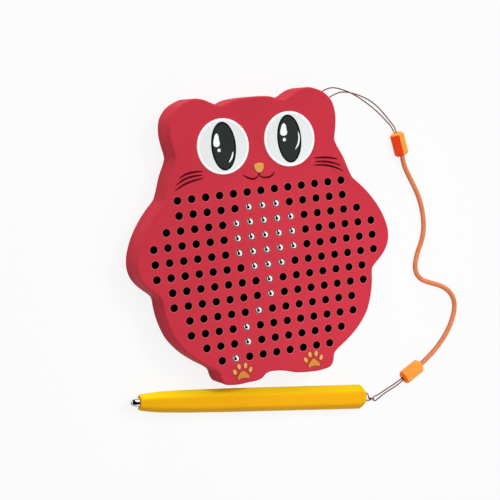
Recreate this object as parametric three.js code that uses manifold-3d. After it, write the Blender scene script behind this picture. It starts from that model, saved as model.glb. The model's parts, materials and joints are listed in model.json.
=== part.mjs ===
// Magnetic drawing board: an animal-shaped board on its back, with a steel ball behind each hole,
// a magnetic pen and the lanyard between them. Millimetres, +Z up, face of the board upwards.
// The origin is on the surface that the board lies on, under the middle of the ball field.
// +X is the board's right as the face is read, and +Y runs towards its ears.

import * as THREE from 'three';
import { mergeGeometries, mergeVertices } from 'three/addons/utils/BufferGeometryUtils.js';
import Module from 'manifold-3d';

const wasm = await Module();
wasm.setup();

// Ball field: each row reaches as many columns to either side of the middle one.
const pitch = 7;
const rowReach = [6, 6, 7, 8, 8, 8, 7, 7, 6, 6, 5, 4];
// Balls drawn up to the face, a balloon on its string: row, first column, last column.
const drawnBalls = [
  [1, -1, 1], [2, -2, 2], [3, -2, 2], [4, -2, 2], [5, -1, 1], [6, 0, 0],
  [7, 0, 0], [8, -1, -1], [9, -2, -2], [10, -2, -2], [11, -3, -3],
];

// Board: the rims and reaches run from the outermost ball centres to the edge.
const armRim = 9;
const headReach = 45.8;
const footReach = 12.3;
const boardDepth = 16;
const wall = 2.2;
const plateThickness = 2.6;
const edgeRadius = 2;
const edgeAngles = [0, 45, 90];
const notchFillet = 1.3;
const overrun = 1;
const gap = 0.3;

// Balls and their holes
const ballDiameter = 4;
const throatLip = 0.3;
const cellClearance = 0.25;
const ballTravel = 2.6;
const seatGap = 0.06;
const holeSides = 7;
const ballFacetRows = 4;

// Ball tray
const trayMargin = 3.3;
const trayThickness = 1.5;
const trayRim = 0.9;

// Rear cover, its screws and their bosses
const coverThickness = 2.4;
const ribThickness = 1.2;
const ribLength = 70;
const ribSpacing = 28;
const bossDiameter = 5;
const screwDiameter = 2.2;
const screwLength = 9;
const headDiameter = 4.2;
const headHeight = 1.2;
const headRecess = 0.2;
const earBossSpacing = 65.6;
const earBossInset = 13;
const flankBossInset = 6.8;
const flankBossIndex = 8.5;
const footBossInset = 6.4;
const bossSides = 6;

// Face
const eyeDiameter = 26;
const eyeSpacing = 34;
const eyeRiseShare = 0.4915;
const eyeSides = 28;
const inlayThickness = 0.5;
const noseWidth = 5.2;
const noseHeight = 4.7;
const noseRiseShare = 0.2335;
const pawSpacing = 36.9;
const pawDrop = 8.1;
const padWidth = 6.6;
const padHeight = 4.4;
const toeLength = 3.3;
const toeWidth = 2.4;
const padRelief = 0.4;

// Pen: it lies beside the board, with its nose past the board's left side and below its feet.
const penWidth = 12.6;
const barrelLength = 113.8;
const plugLength = 3.3;
const penCornerRadius = 2;
const tipDiameter = 4.7;
const tipReach = 4.7;
const tipSeat = 7.6;
const magnetDiameter = 5.8;
const magnetLength = 14;
const pocketLength = 15;
const boreDiameter = 7.4;
const spigotLength = 6;
const boreSides = 12;
const penAngle = -8.06;
const penLead = 2.5;
const penDrop = 2.35;
const threadHoleSpacing = 4;
const threadHoleDiameter = 1.4;
const threadChannelDepth = 3;
const threadChannelWidth = 2.1;

// Lanyard
const cordDiameter = 2.4;
const threadDiameter = 0.6;
const knotDiameter = 1.7;
const cordSides = 8;
const connectorLength = 12;
const connectorWidth = 7.2;
const connectorHeight = 5.6;
const connectorBevel = 1.4;
const earHoleDiameter = 1.8;
const earHoleSpacing = 4.6;
const earHoleHeight = 8;

const rows = rowReach.length;
const widestReach = Math.max(...rowReach);
const rowY = (row) => ((rows - 1) / 2 - row) * pitch;
const columnX = (column) => column * pitch;
const halfWidth = columnX(widestReach) + armRim;
const topY = rowY(0) + headReach;
const footY = rowY(rows - 1) - footReach;
const plateUnder = boardDepth - plateThickness;

// A raised ball wedges in its tapered hole, so its height follows from the taper.
const ballRadius = ballDiameter / 2;
const throatRadius = (ballDiameter - throatLip) / 2;
const cellRadius = ballRadius + cellClearance;
const taper = Math.atan2(cellRadius - throatRadius, plateThickness);
const contactDepth = (ballRadius * Math.cos(taper) - throatRadius) / Math.tan(taper);
const raisedZ = boardDepth - contactDepth - ballRadius * Math.sin(taper) - seatGap;
const trayTop = raisedZ - ballTravel - ballRadius;
const trayBottom = trayTop - trayThickness;

// Solids

function solidOf(geometry) {
  const bare = geometry.clone();
  bare.deleteAttribute('normal');
  bare.deleteAttribute('uv');
  const merged = mergeVertices(bare);
  const vertProperties = new Float32Array(merged.attributes.position.array);
  const triVerts = new Uint32Array(merged.index.array);
  return new wasm.Manifold(new wasm.Mesh({ numProp: 3, vertProperties, triVerts }));
}

function geometryOf(solid) {
  const mesh = solid.getMesh();
  const geometry = new THREE.BufferGeometry();
  geometry.setAttribute('position', new THREE.BufferAttribute(mesh.vertProperties, 3));
  geometry.setIndex(new THREE.BufferAttribute(mesh.triVerts, 1));
  return geometry;
}

const cut = (body, ...tools) => tools.reduce((rest, tool) => rest.subtract(tool), body);
const join = (...bodies) => bodies.reduce((whole, body) => whole.add(body));

// Level rings of as many points each, lowest first, joined by walls and closed at both ends.
function loft(rings) {
  const count = rings[0].length;
  const last = (rings.length - 1) * count;
  const index = [];
  for (let ring = 0; ring < rings.length - 1; ring += 1) {
    for (let i = 0; i < count; i += 1) {
      const a = ring * count + i;
      const b = ring * count + (i + 1) % count;
      index.push(a, b, b + count, a, b + count, a + count);
    }
  }
  const capOf = (ring) => (
    THREE.ShapeUtils.triangulateShape(ring.map(({ x, y }) => new THREE.Vector2(x, y)), [])
  );
  capOf(rings[0]).forEach(([a, b, c]) => index.push(a, c, b));
  capOf(rings[rings.length - 1]).forEach(([a, b, c]) => index.push(last + a, last + b, last + c));
  const positions = rings.flat().flatMap((point) => point.toArray());
  const geometry = new THREE.BufferGeometry();
  geometry.setAttribute('position', new THREE.Float32BufferAttribute(positions, 3));
  geometry.setIndex(index);
  return geometry;
}

const atHeight = (points, z) => points.map((point) => new THREE.Vector3(point.x, point.y, z));
const prism = (points, low, high) => solidOf(loft([atHeight(points, low), atHeight(points, high)]));

// An upright cylinder or cone between two heights, with a flat towards +X.
function post(x, y, low, high, lowRadius, highRadius = lowRadius, sides = bossSides) {
  const reach = 1 / Math.cos(Math.PI / sides);
  const geometry = new THREE.CylinderGeometry(highRadius * reach, lowRadius * reach, high - low, sides);
  geometry.rotateX(Math.PI / 2).rotateZ(Math.PI / sides);
  return geometry.translate(x, y, (low + high) / 2);
}

// A cylinder along +X between two places on the pen's axis.
function axial(from, to, radius, sides = cordSides) {
  const geometry = new THREE.CylinderGeometry(radius, radius, to - from, sides).rotateZ(-Math.PI / 2);
  return geometry.translate((from + to) / 2, 0, 0);
}

// Outline of the board, in shares of the half width and of the reach to the ears or feet.
// Each stretch is a smooth curve between two notches. The crown and the feet cross the middle.
const crownShares = [
  [0, 0.979], [0.14, 0.971], [0.252, 0.948], [0.362, 0.987], [0.454, 1], [0.568, 0.966],
  [0.612, 0.934], [0.64, 0.897], [0.654, 0.818], [0.625, 0.686],
];
const cheekShares = [[0.625, 0.686], [0.683, 0.592], [0.742, 0.466]];
const armShares = [
  [0.742, 0.466], [0.838, 0.391], [0.938, 0.28], [0.994, 0.165], [0.994, 0.085],
  [0.955, 0.022], [0.837, -0.11],
];
const flankShares = [[0.837, -0.11], [0.822, -0.286], [0.763, -0.51], [0.646, -0.688], [0.465, -0.855]];
const footShares = [
  [0.465, -0.855], [0.452, -0.925], [0.43, -0.975], [0.36, -1], [0.25, -1], [0.13, -0.98], [0, -0.938],
];
const eyeletIndex = 6;

const place = ([x, y]) => new THREE.Vector3(x * halfWidth, y * (y > 0 ? topY : -footY), 0);
const mirrored = (shares) => shares.map(([x, y]) => [-x, y]).reverse();

function curvePoints(shares, steps) {
  const curve = new THREE.CatmullRomCurve3(shares.map(place));
  return curve.getPoints((shares.length - 1) * steps);
}

function boardOutline() {
  const crown = mirrored(crownShares.slice(1)).concat(crownShares);
  const feet = footShares.concat(mirrored(footShares.slice(0, -1)));
  const around = [
    curvePoints(crown, 2), curvePoints(cheekShares, 1), curvePoints(armShares, 2),
    curvePoints(flankShares, 2), curvePoints(feet, 1), curvePoints(mirrored(flankShares), 2),
    curvePoints(mirrored(armShares), 2), curvePoints(mirrored(cheekShares), 1),
  ];
  const points = around.flatMap((stretch, number) => {
    const before = around[(number + around.length - 1) % around.length];
    const notch = stretch[0];
    const inward = before[before.length - 2].clone().sub(notch).setLength(notchFillet).add(notch);
    const outward = stretch[1].clone().sub(notch).setLength(notchFillet).add(notch);
    const middle = inward.clone().lerp(outward, 1 / 2).lerp(notch, 1 / 2);
    return [inward, middle, outward, ...stretch.slice(1, -1)];
  });
  return points.reverse();
}

// Every point moves in along the mean of the normals beside it.
function inset(points, distance) {
  return points.map((point, i) => {
    const before = points[(i + points.length - 1) % points.length];
    const after = points[(i + 1) % points.length];
    const first = point.clone().sub(before).normalize();
    const second = after.clone().sub(point).normalize();
    const along = first.clone().add(second).normalize();
    const stretch = distance / along.dot(first);
    return new THREE.Vector3(point.x - along.y * stretch, point.y + along.x * stretch, 0);
  });
}

const outline = boardOutline();

// Hole field

const cells = rowReach.flatMap((reach, row) => (
  Array.from({ length: 2 * reach + 1 }, (_, i) => ({ row, column: i - reach }))
));
const isDrawn = ({ row, column }) => drawnBalls.some(([drawnRow, first, last]) => (
  row === drawnRow && column >= first && column <= last
));

function holeTool() {
  const flare = overrun * Math.tan(taper);
  const low = plateUnder - overrun;
  const high = boardDepth + overrun;
  const hole = post(0, 0, low, high, cellRadius + flare, throatRadius - flare, holeSides);
  return mergeGeometries(cells.map(({ row, column }) => (
    hole.clone().translate(columnX(column), rowY(row), 0)
  )));
}

// Screws stand behind the ears, at the flanks and behind the feet.
const bossPlaces = [-1, 1].flatMap((side) => [
  [side * earBossSpacing / 2, topY - earBossInset],
  [side * (place(flankShares[1]).x - flankBossInset), rowY(flankBossIndex)],
  [side * pawSpacing / 2, footY + footBossInset],
]);

// Front shell

// Two thread holes through the wall at the outer side of the right ear.
function earHoles() {
  const centre = place(crownShares[eyeletIndex]).setZ(earHoleHeight);
  const along = place(crownShares[eyeletIndex + 1]).sub(place(crownShares[eyeletIndex - 1])).normalize();
  const outward = new THREE.Vector3(-along.y, along.x, 0);
  const turn = new THREE.Quaternion().setFromUnitVectors(new THREE.Vector3(0, 1, 0), outward);
  const radius = earHoleDiameter / 2;
  return [-1, 1].map((side) => {
    const hole = new THREE.CylinderGeometry(radius, radius, 2 * (wall + overrun), holeSides);
    const at = centre.clone().addScaledVector(along, side * earHoleSpacing / 2);
    return solidOf(hole.applyQuaternion(turn).translate(at.x, at.y, at.z));
  });
}

const padShares = [
  [-0.46, -0.5], [-0.16, -0.42], [0.16, -0.42], [0.46, -0.5], [0.5, -0.3], [0.3, 0.2], [0, 0.5],
  [-0.3, 0.2], [-0.5, -0.3],
];
const toeShares = [[-0.61, 0.44], [-0.25, 0.95], [0.25, 0.95], [0.61, 0.44]];
const toeLeans = [24, 8, -8, -24];

function pawPads(centreX) {
  const low = plateUnder + plateThickness / 2;
  const depth = boardDepth + padRelief - low;
  const y = rowY(rows - 1) - pawDrop;
  const shape = new THREE.Shape(padShares.map(([u, v]) => new THREE.Vector2(u * padWidth, v * padHeight)));
  const pad = new THREE.ExtrudeGeometry(shape, { depth, bevelEnabled: false }).translate(centreX, y, low);
  const toes = toeShares.map(([across, up], i) => {
    const toe = new THREE.CylinderGeometry(toeWidth / 2, toeWidth / 2, depth, holeSides);
    toe.rotateX(Math.PI / 2).scale(1, toeLength / toeWidth, 1);
    toe.rotateZ(THREE.MathUtils.degToRad(toeLeans[i]));
    return toe.translate(centreX + across * padWidth, y + up * padHeight, low + depth / 2);
  });
  return [pad, ...toes].map(solidOf);
}

function frontShell() {
  const edge = edgeAngles.map((degrees) => {
    const angle = THREE.MathUtils.degToRad(degrees);
    const z = boardDepth - edgeRadius * (1 - Math.sin(angle));
    return atHeight(inset(outline, edgeRadius * (1 - Math.cos(angle))), z);
  });
  const outside = solidOf(loft([atHeight(outline, 0), ...edge]));
  const hollow = prism(inset(outline, wall), -overrun, plateUnder);
  const bosses = bossPlaces.map(([x, y]) => (
    solidOf(post(x, y, coverThickness + gap, plateUnder + gap, bossDiameter / 2))
  ));
  const pilotTop = headRecess + screwLength + gap;
  const pilots = bossPlaces.map(([x, y]) => (
    solidOf(post(x, y, coverThickness, pilotTop, screwDiameter / 2 + gap / 2))
  ));
  const pads = [-1, 1].flatMap((side) => pawPads(side * pawSpacing / 2));
  const body = join(cut(outside, hollow), ...bosses, ...pads);
  return geometryOf(cut(body, solidOf(holeTool()), ...pilots, ...earHoles()));
}

// Ball tray, with the balls that have dropped

function stairOutline(margin) {
  const right = [new THREE.Vector3(columnX(rowReach[0]) + margin, rowY(0) + margin, 0)];
  for (let row = 1; row < rows; row += 1) {
    const upper = columnX(rowReach[row - 1]) + margin;
    const lower = columnX(rowReach[row]) + margin;
    if (upper !== lower) {
      const y = lower > upper ? rowY(row) + margin : rowY(row - 1) - margin;
      right.push(new THREE.Vector3(upper, y, 0), new THREE.Vector3(lower, y, 0));
    }
  }
  right.push(new THREE.Vector3(columnX(rowReach[rows - 1]) + margin, rowY(rows - 1) - margin, 0));
  const left = right.map((point) => new THREE.Vector3(-point.x, point.y, 0));
  return [...left, ...right.reverse()];
}

// Each dropped ball is an icosahedron that stands on one of its faces.
function droppedBalls() {
  const ball = new THREE.IcosahedronGeometry(ballRadius);
  const corner = (i) => new THREE.Vector3().fromBufferAttribute(ball.attributes.position, i);
  const face = corner(0).add(corner(1)).add(corner(2)).divideScalar(3);
  const down = new THREE.Vector3(0, 0, -1);
  ball.applyQuaternion(new THREE.Quaternion().setFromUnitVectors(face.clone().normalize(), down));
  ball.translate(0, 0, trayTop + face.length());
  return mergeGeometries(cells.filter((cell) => !isDrawn(cell)).map(({ row, column }) => (
    ball.clone().translate(columnX(column), rowY(row), 0)
  )));
}

function ballTray() {
  const rimTop = plateUnder - gap;
  const plate = prism(stairOutline(trayMargin), trayBottom, rimTop);
  const bed = prism(stairOutline(trayMargin - trayRim), trayTop, rimTop + overrun);
  const room = prism(inset(outline, wall + gap), 0, boardDepth);
  const notches = bossPlaces.map(([x, y]) => solidOf(post(x, y, 0, boardDepth, bossDiameter / 2 + gap)));
  return geometryOf(join(cut(cut(plate, bed).intersect(room), ...notches), solidOf(droppedBalls())));
}

function steelBall() {
  return new THREE.SphereGeometry(ballRadius, holeSides, ballFacetRows).rotateX(Math.PI / 2);
}

// Rear cover and screws

function rearCover() {
  const plate = prism(inset(outline, wall + gap), 0, coverThickness);
  const ribTop = trayBottom - gap;
  const ribs = [-1, 0, 1].map((side) => solidOf(
    new THREE.BoxGeometry(ribThickness, ribLength, ribTop)
      .translate(side * ribSpacing, 0, ribTop / 2),
  ));
  const tools = bossPlaces.flatMap(([x, y]) => [
    solidOf(post(x, y, -overrun, headRecess + headHeight + gap, headDiameter / 2 + gap)),
    solidOf(post(x, y, -overrun, coverThickness + overrun, screwDiameter / 2 + gap / 2)),
  ]);
  return geometryOf(cut(join(plate, ...ribs), ...tools));
}

function screw() {
  const headTop = headRecess + headHeight;
  const end = headRecess + screwLength;
  const profile = [
    [0, headRecess], [headDiameter / 2, headRecess], [headDiameter / 2, headTop],
    [screwDiameter / 2, headTop], [screwDiameter / 2, end - screwDiameter / 2], [0, end],
  ];
  const points = profile.map(([x, y]) => new THREE.Vector2(x, y));
  return new THREE.LatheGeometry(points, bossSides).rotateX(Math.PI / 2);
}

// Face inlays

const noseShares = [
  [-0.2, 0.5], [-0.44, 0.4], [-0.5, 0.15], [-0.4, -0.2], [-0.2, -0.44], [0, -0.5],
  [0.2, -0.44], [0.4, -0.2], [0.5, 0.15], [0.44, 0.4], [0.2, 0.5],
];

function eyeDisc() {
  const radius = eyeDiameter / 2;
  return new THREE.CylinderGeometry(radius - gap, radius, inlayThickness, eyeSides)
    .rotateX(Math.PI / 2).translate(0, 0, boardDepth + inlayThickness / 2);
}

function nose() {
  const shape = new THREE.Shape(noseShares.map(([x, y]) => (
    new THREE.Vector2(x * noseWidth, y * noseHeight)
  )));
  return new THREE.ExtrudeGeometry(shape, { depth: inlayThickness, bevelEnabled: false })
    .translate(0, 0, boardDepth);
}

// Pen: its axis runs along +X from the nose, with a flat of the hexagon on the table.
// Each section has its place as a share of the length, its width share and its roundness share.

const penHeight = penWidth * Math.cos(Math.PI / 6);
const barrelShares = [
  [0, 0.61, 0.9], [0.022, 0.7, 0.7], [0.085, 0.825, 0.3], [0.2, 0.902, 0.1], [0.4, 0.95, 0],
  [0.6, 0.968, 0], [1, 1, 0],
];
const plugShares = [[0, 1, 0], [0.25, 1, 0], [0.7, 0.82, 0.2], [1, 0.6, 0.6]];

// A hexagon with rounded corners, drawn towards a circle by the roundness share.
function penRing(height, width, roundnessShare) {
  const tangent = penCornerRadius * Math.tan(Math.PI / 6);
  const round = width / 2 + penCornerRadius - penCornerRadius / Math.cos(Math.PI / 6);
  const corner = (number) => {
    const angle = number * Math.PI / 3;
    return new THREE.Vector2(-Math.sin(angle), Math.cos(angle)).multiplyScalar(width / 2);
  };
  return [0, 1, 2, 3, 4, 5].flatMap((number) => {
    const tip = corner(number);
    const before = corner(number - 1).sub(tip).setLength(tangent).add(tip);
    const after = corner(number + 1).sub(tip).setLength(tangent).add(tip);
    return [before, tip.clone().setLength(round), after].map((point) => {
      const onCircle = point.clone().setLength(round);
      const mixed = point.clone().lerp(onCircle, roundnessShare);
      return new THREE.Vector3(mixed.x, mixed.y, height);
    });
  });
}

// Sections from one place on the pen's axis to another, laid down along +X.
function penBody(from, to, shares) {
  const rings = shares.map(([place, widthShare, roundnessShare]) => (
    penRing(from + place * (to - from), widthShare * penWidth, roundnessShare)
  ));
  return solidOf(loft(rings).rotateY(Math.PI / 2));
}

function penBarrel() {
  const pocketEnd = tipSeat + pocketLength;
  const noseBore = axial(-overrun, tipSeat + overrun, tipDiameter / 2 + gap, boreSides);
  const pocket = axial(tipSeat, pocketEnd, magnetDiameter / 2 + gap, boreSides);
  const bore = axial(pocketEnd - overrun, barrelLength + overrun, boreDiameter / 2, boreSides);
  return geometryOf(cut(penBody(0, barrelLength, barrelShares), ...[noseBore, pocket, bore].map(solidOf)));
}

function penTip() {
  const radius = tipDiameter / 2;
  const dome = [90, 60, 30, 0].map((degrees) => {
    const angle = THREE.MathUtils.degToRad(degrees);
    return new THREE.Vector2(radius * Math.sin(angle), radius * Math.cos(angle) + tipReach - radius);
  });
  const profile = [new THREE.Vector2(0, gap - tipSeat), new THREE.Vector2(radius, gap - tipSeat), ...dome];
  return new THREE.LatheGeometry(profile, boreSides).rotateZ(Math.PI / 2);
}

function penPlug() {
  const start = barrelLength + gap;
  const end = barrelLength + plugLength;
  const spigot = solidOf(axial(start - spigotLength, start + gap, boreDiameter / 2 - gap));
  const holes = [-1, 1].map((side) => solidOf(
    axial(end - threadChannelDepth, end + overrun, threadHoleDiameter / 2)
      .translate(0, side * threadHoleSpacing / 2, 0),
  ));
  const channelLength = threadHoleSpacing + threadHoleDiameter;
  const channel = new THREE.BoxGeometry(threadChannelWidth, channelLength, threadHoleDiameter);
  channel.translate(end - threadChannelDepth, 0, 0);
  return geometryOf(cut(join(penBody(start, end, plugShares), spigot), solidOf(channel), ...holes));
}

// Lanyard routes, chosen by hand: x, y and the height of the middle of the cord.

const cordRoute = [
  [83.1, 45.4, 2.8], [83.6, 42.6, 2.3], [84.9, 39.3, 1.5], [86.8, 34.8, 1.2], [88.7, 30.5, 1.2],
  [90.4, 26.2, 1.2], [91.8, 21, 1.2], [92.5, 15.4, 1.2], [92.5, 10.2, 1.2], [91.6, 5.2, 1.2],
  [89.9, 0.9, 1.2], [87.9, -3, 1.2], [86.3, -7.1, 1.2], [85.6, -10.8, 1.2], [86.2, -14, 1.2],
  [88.3, -16.8, 1.2], [91.6, -18.7, 1.2], [95.4, -20.2, 1.2], [99, -21.8, 1.2], [102.3, -24, 1.2],
  [104.8, -27.1, 1.2], [106, -30.9, 1.2], [105.6, -35.2, 1.2], [103.7, -40, 1.2],
  [100.5, -45.2, 1.2], [96.7, -49.6, 1.2], [92.4, -53.6, 1.2], [88.8, -56.1, 1.5],
  [85.6, -57.9, 2.2], [83.1, -59.2, 2.8],
];
const earRoute = [
  [80.85, 57.85, 2.8], [80.3, 60.3, 2.3], [79.1, 62.9, 1.1], [77.2, 66, 0.45], [73.5, 70.6, 0.35],
  [69.5, 74.2, 0.35], [64.9, 76.9, 0.4], [60.2, 78.8, 0.55], [56.3, 79.8, 1.1], [52.6, 80, 2.3],
  [48.7, 79.4, 4.4], [45.3, 78.6, 6.6], [43, 77.9, 7.8], [41.2, 76.8, 8], [39, 75.2, 8],
  [37.2, 74.8, 8], [35.7, 75.6, 8], [35.3, 77.2, 8], [36.3, 78.7, 8], [38.3, 80.3, 8],
  [40, 81.3, 7.9], [41.9, 82, 7.5], [44.7, 82.5, 5.9], [48.2, 82.6, 3.8], [51.8, 81.9, 2.4],
  [55.2, 80.7, 1.8], [58.3, 79.3, 1.6], [61.3, 77.6, 1.2], [65.5, 74.8, 0.5], [69.7, 71.4, 0.35],
  [73.4, 67.9, 0.35], [76.4, 64.4, 0.6], [78.6, 60.9, 1.9], [79.75, 57.65, 2.8],
];
const penThreadRoute = [
  [71.64, -64.59, 2.8], [70.1, -65.6, 2.3], [67.5, -67.4, 0.9], [63.8, -69.1, 0.35],
  [60.4, -70.5, 0.35], [58.2, -71.25, 0.45], [56.9, -71.45, 0.7], [55.95, -71.9, 0.85],
  [55.6, -72.6, 0.85], [55.9, -73.3, 0.85], [56.8, -73.7, 0.75], [58.2, -73.25, 0.5],
  [60.4, -72.1, 0.35], [63.5, -70.6, 0.35], [67.1, -69, 0.9], [70.4, -66.9, 2.3],
  [72.1, -65.47, 2.8],
];
const knotPlace = [54.1, -72.25];
const loopRoute = [
  [53.05, -71.6, 1.5], [52.4, -70.5, 2.6], [51.2, -68.95, 4.4], [49.9, -68.05, 5.36],
  [48.1, -67.5, 5.46], [46.9, -67.4, 5.46], [45.9, -67.85, 5.46], [45.45, -68.85, 5.46],
  [45.3, -69.95, 5.46], [45.45, -71.05, 5.46], [46.3, -71.5, 5.46], [47.6, -71.5, 5.46],
  [49.3, -71.72, 5.36], [50.9, -72.1, 4.1], [52.2, -72.65, 2.5], [53, -72.95, 1.5],
];
const cordSteps = 24;
const earSteps = 30;
const penThreadSteps = 14;
const loopSteps = 12;

function tube(route, diameter, steps) {
  const extrudePath = new THREE.CatmullRomCurve3(route.map((point) => new THREE.Vector3(...point)));
  const section = new THREE.Shape(Array.from({ length: cordSides }, (_, i) => {
    const angle = i * 2 * Math.PI / cordSides;
    return new THREE.Vector2(Math.cos(angle), Math.sin(angle)).multiplyScalar(diameter / 2);
  }));
  return new THREE.ExtrudeGeometry(section, { steps, extrudePath, bevelEnabled: false });
}

function knot() {
  return new THREE.SphereGeometry(knotDiameter / 2, cordSides, ballFacetRows).rotateX(Math.PI / 2);
}

// A faceted bead with a ridge along its top, lying along +X.
function connector() {
  const facetAngles = [22, 52, 90, 128, 158, 202, 232, 270, 308, 338].map(THREE.MathUtils.degToRad);
  const ring = (along, bevel) => facetAngles.map((angle) => {
    const width = (connectorWidth / 2 - bevel) * Math.cos(angle);
    const height = (connectorHeight / 2 - bevel) * Math.sin(angle);
    return new THREE.Vector3(-height, width, along);
  });
  const half = connectorLength / 2;
  const shoulder = half - connectorBevel;
  const rings = [
    ring(-half, connectorBevel), ring(-shoulder, 0), ring(shoulder, 0), ring(half, connectorBevel),
  ];
  return loft(rings).rotateY(Math.PI / 2);
}

// Materials

const plastic = (color, roughness) => new THREE.MeshStandardMaterial({ color, roughness, metalness: 0 });
const metal = (color, roughness) => new THREE.MeshStandardMaterial({ color, roughness, metalness: 1 });
const shellRed = plastic(0xd23a4e, 0.5);
const coverRed = plastic(0x9c2c3c, 0.6);
const trayBlack = plastic(0x1c1b1d, 0.7);
const eyeWhite = plastic(0xeef1f1, 0.35);
const noseGold = plastic(0xdca258, 0.4);
const penYellow = plastic(0xf2b414, 0.4);
const connectorOrange = plastic(0xf07a26, 0.25);
const cordOrange = plastic(0xd87a48, 0.9);
const threadBrown = plastic(0xb4654c, 0.8);
const steel = metal(0xd8d8d6, 0.15);
const screwSteel = metal(0xa8a8a6, 0.35);
const magnetNickel = metal(0xb8b6ae, 0.3);

// Assembly

const board = new THREE.Group();

function add(parent, name, geometry, material) {
  const mesh = new THREE.Mesh(geometry, material);
  mesh.name = name;
  parent.add(mesh);
  return mesh;
}

add(board, 'front_shell', frontShell(), shellRed);
add(board, 'ball_tray', ballTray(), trayBlack);
add(board, 'rear_cover', rearCover(), coverRed);

const screwGeometry = screw();
const screwNames = [
  'screw_ear_left', 'screw_flank_left', 'screw_foot_left',
  'screw_ear_right', 'screw_flank_right', 'screw_foot_right',
];
bossPlaces.forEach(([x, y], i) => {
  add(board, screwNames[i], screwGeometry, screwSteel).position.set(x, y, 0);
});

const ballGeometry = steelBall();
cells.filter(isDrawn).forEach(({ row, column }) => {
  const name = `ball_row${row + 1}_col${column + widestReach + 1}`;
  add(board, name, ballGeometry, steel).position.set(columnX(column), rowY(row), raisedZ);
});

const eyeGeometry = eyeDisc();
['eye_left', 'eye_right'].forEach((name, i) => {
  const side = i === 0 ? -1 : 1;
  const y = rowY(0) + eyeRiseShare * headReach;
  add(board, name, eyeGeometry, eyeWhite).position.set(side * eyeSpacing / 2, y, 0);
});
add(board, 'nose', nose(), noseGold).position.set(0, rowY(0) + noseRiseShare * headReach, 0);

const pen = new THREE.Group();
pen.position.set(-halfWidth - penLead, footY - penDrop, penHeight / 2);
pen.rotation.z = THREE.MathUtils.degToRad(penAngle);
board.add(pen);
add(pen, 'pen_barrel', penBarrel(), penYellow);
add(pen, 'pen_tip', penTip(), steel);
add(pen, 'pen_magnet', axial(tipSeat, tipSeat + magnetLength, magnetDiameter / 2), magnetNickel);
add(pen, 'pen_end_plug', penPlug(), penYellow);

// A connector takes its place and direction from the end of the cord that it holds.
function addConnector(name, end, next) {
  const away = new THREE.Vector2(end[0] - next[0], end[1] - next[1]).normalize();
  const reach = gap + connectorLength / 2;
  const mesh = add(board, name, connector(), connectorOrange);
  mesh.position.set(end[0] + away.x * reach, end[1] + away.y * reach, connectorHeight / 2);
  mesh.rotation.z = away.angle();
}

addConnector('connector_upper', ...cordRoute);
addConnector('connector_lower', ...cordRoute.slice(-2).reverse());
add(board, 'lanyard_cord', tube(cordRoute, cordDiameter, cordSteps), cordOrange);
add(board, 'ear_thread', tube(earRoute, threadDiameter, earSteps), threadBrown);
add(board, 'pen_thread', tube(penThreadRoute, threadDiameter, penThreadSteps), threadBrown);
add(board, 'pen_loop', tube(loopRoute, threadDiameter, loopSteps), threadBrown);
add(board, 'thread_knot', knot(), threadBrown).position.set(...knotPlace, knotDiameter / 2);

export default board;
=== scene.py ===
"""Magnetic drawing board: finished surfaces, balls, pen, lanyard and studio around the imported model."""

import json
from contextlib import contextmanager
from math import atan2, cos, hypot, pi, radians, sin, tan, tau

import bmesh
import bpy
from bpy.props import FloatProperty, FloatVectorProperty, PointerProperty
from mathutils import Matrix, Vector
from mathutils.geometry import interpolate_bezier


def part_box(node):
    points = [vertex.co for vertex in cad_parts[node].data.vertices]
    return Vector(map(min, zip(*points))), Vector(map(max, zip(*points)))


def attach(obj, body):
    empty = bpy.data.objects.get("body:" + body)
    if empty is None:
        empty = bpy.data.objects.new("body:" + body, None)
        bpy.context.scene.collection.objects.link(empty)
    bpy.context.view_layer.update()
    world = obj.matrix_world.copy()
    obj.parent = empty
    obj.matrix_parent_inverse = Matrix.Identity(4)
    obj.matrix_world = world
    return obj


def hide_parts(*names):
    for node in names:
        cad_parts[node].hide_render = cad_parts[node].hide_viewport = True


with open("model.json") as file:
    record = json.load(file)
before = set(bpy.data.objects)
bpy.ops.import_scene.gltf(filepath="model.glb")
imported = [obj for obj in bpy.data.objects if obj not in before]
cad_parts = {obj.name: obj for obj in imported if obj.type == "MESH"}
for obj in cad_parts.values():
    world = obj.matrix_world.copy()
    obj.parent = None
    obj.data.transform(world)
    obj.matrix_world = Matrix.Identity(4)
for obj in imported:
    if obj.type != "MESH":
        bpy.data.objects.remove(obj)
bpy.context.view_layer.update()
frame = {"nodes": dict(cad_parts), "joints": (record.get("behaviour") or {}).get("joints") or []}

bl_info = {
    "name": "Magnetic Drawing Board",
    "version": (1, 0, 0),
    "blender": (4, 5, 0),
    "location": "3D View > Sidebar > Drawing Board",
    "description": "A drawing board of steel balls with its magnetic pen and lanyard",
    "category": "Add Mesh",
}

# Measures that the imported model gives
face_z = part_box("eye_left")[0].z
tray_low, tray_high = (corner.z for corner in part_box("ball_tray"))

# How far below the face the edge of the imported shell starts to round
rim_drop = 0.002

# Lengths below this one count as nothing
tiny = 0.00001

# Corners between the feet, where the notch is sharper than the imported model's
notch_corners = ((-0.0062, -0.048), (0.004, -0.0484))

# Thread holes in the ear: the place between them and the direction of the row
ear_hole_middle = Vector((0.0398, 0.07874, 0.008))
ear_hole_turn = radians(-51.2)

# Ball field: how many columns each row reaches to either side of the middle one
row_reach = (6, 6, 7, 8, 8, 8, 7, 7, 6, 6, 5, 4)
middle_column = 9


def metres(points, height=0.0):
    """Places in metres of points in millimetres. The height is for the points that give none."""
    return [Vector([value / 1000 for value in (*point, height)[:3]]) for point in points]


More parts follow.
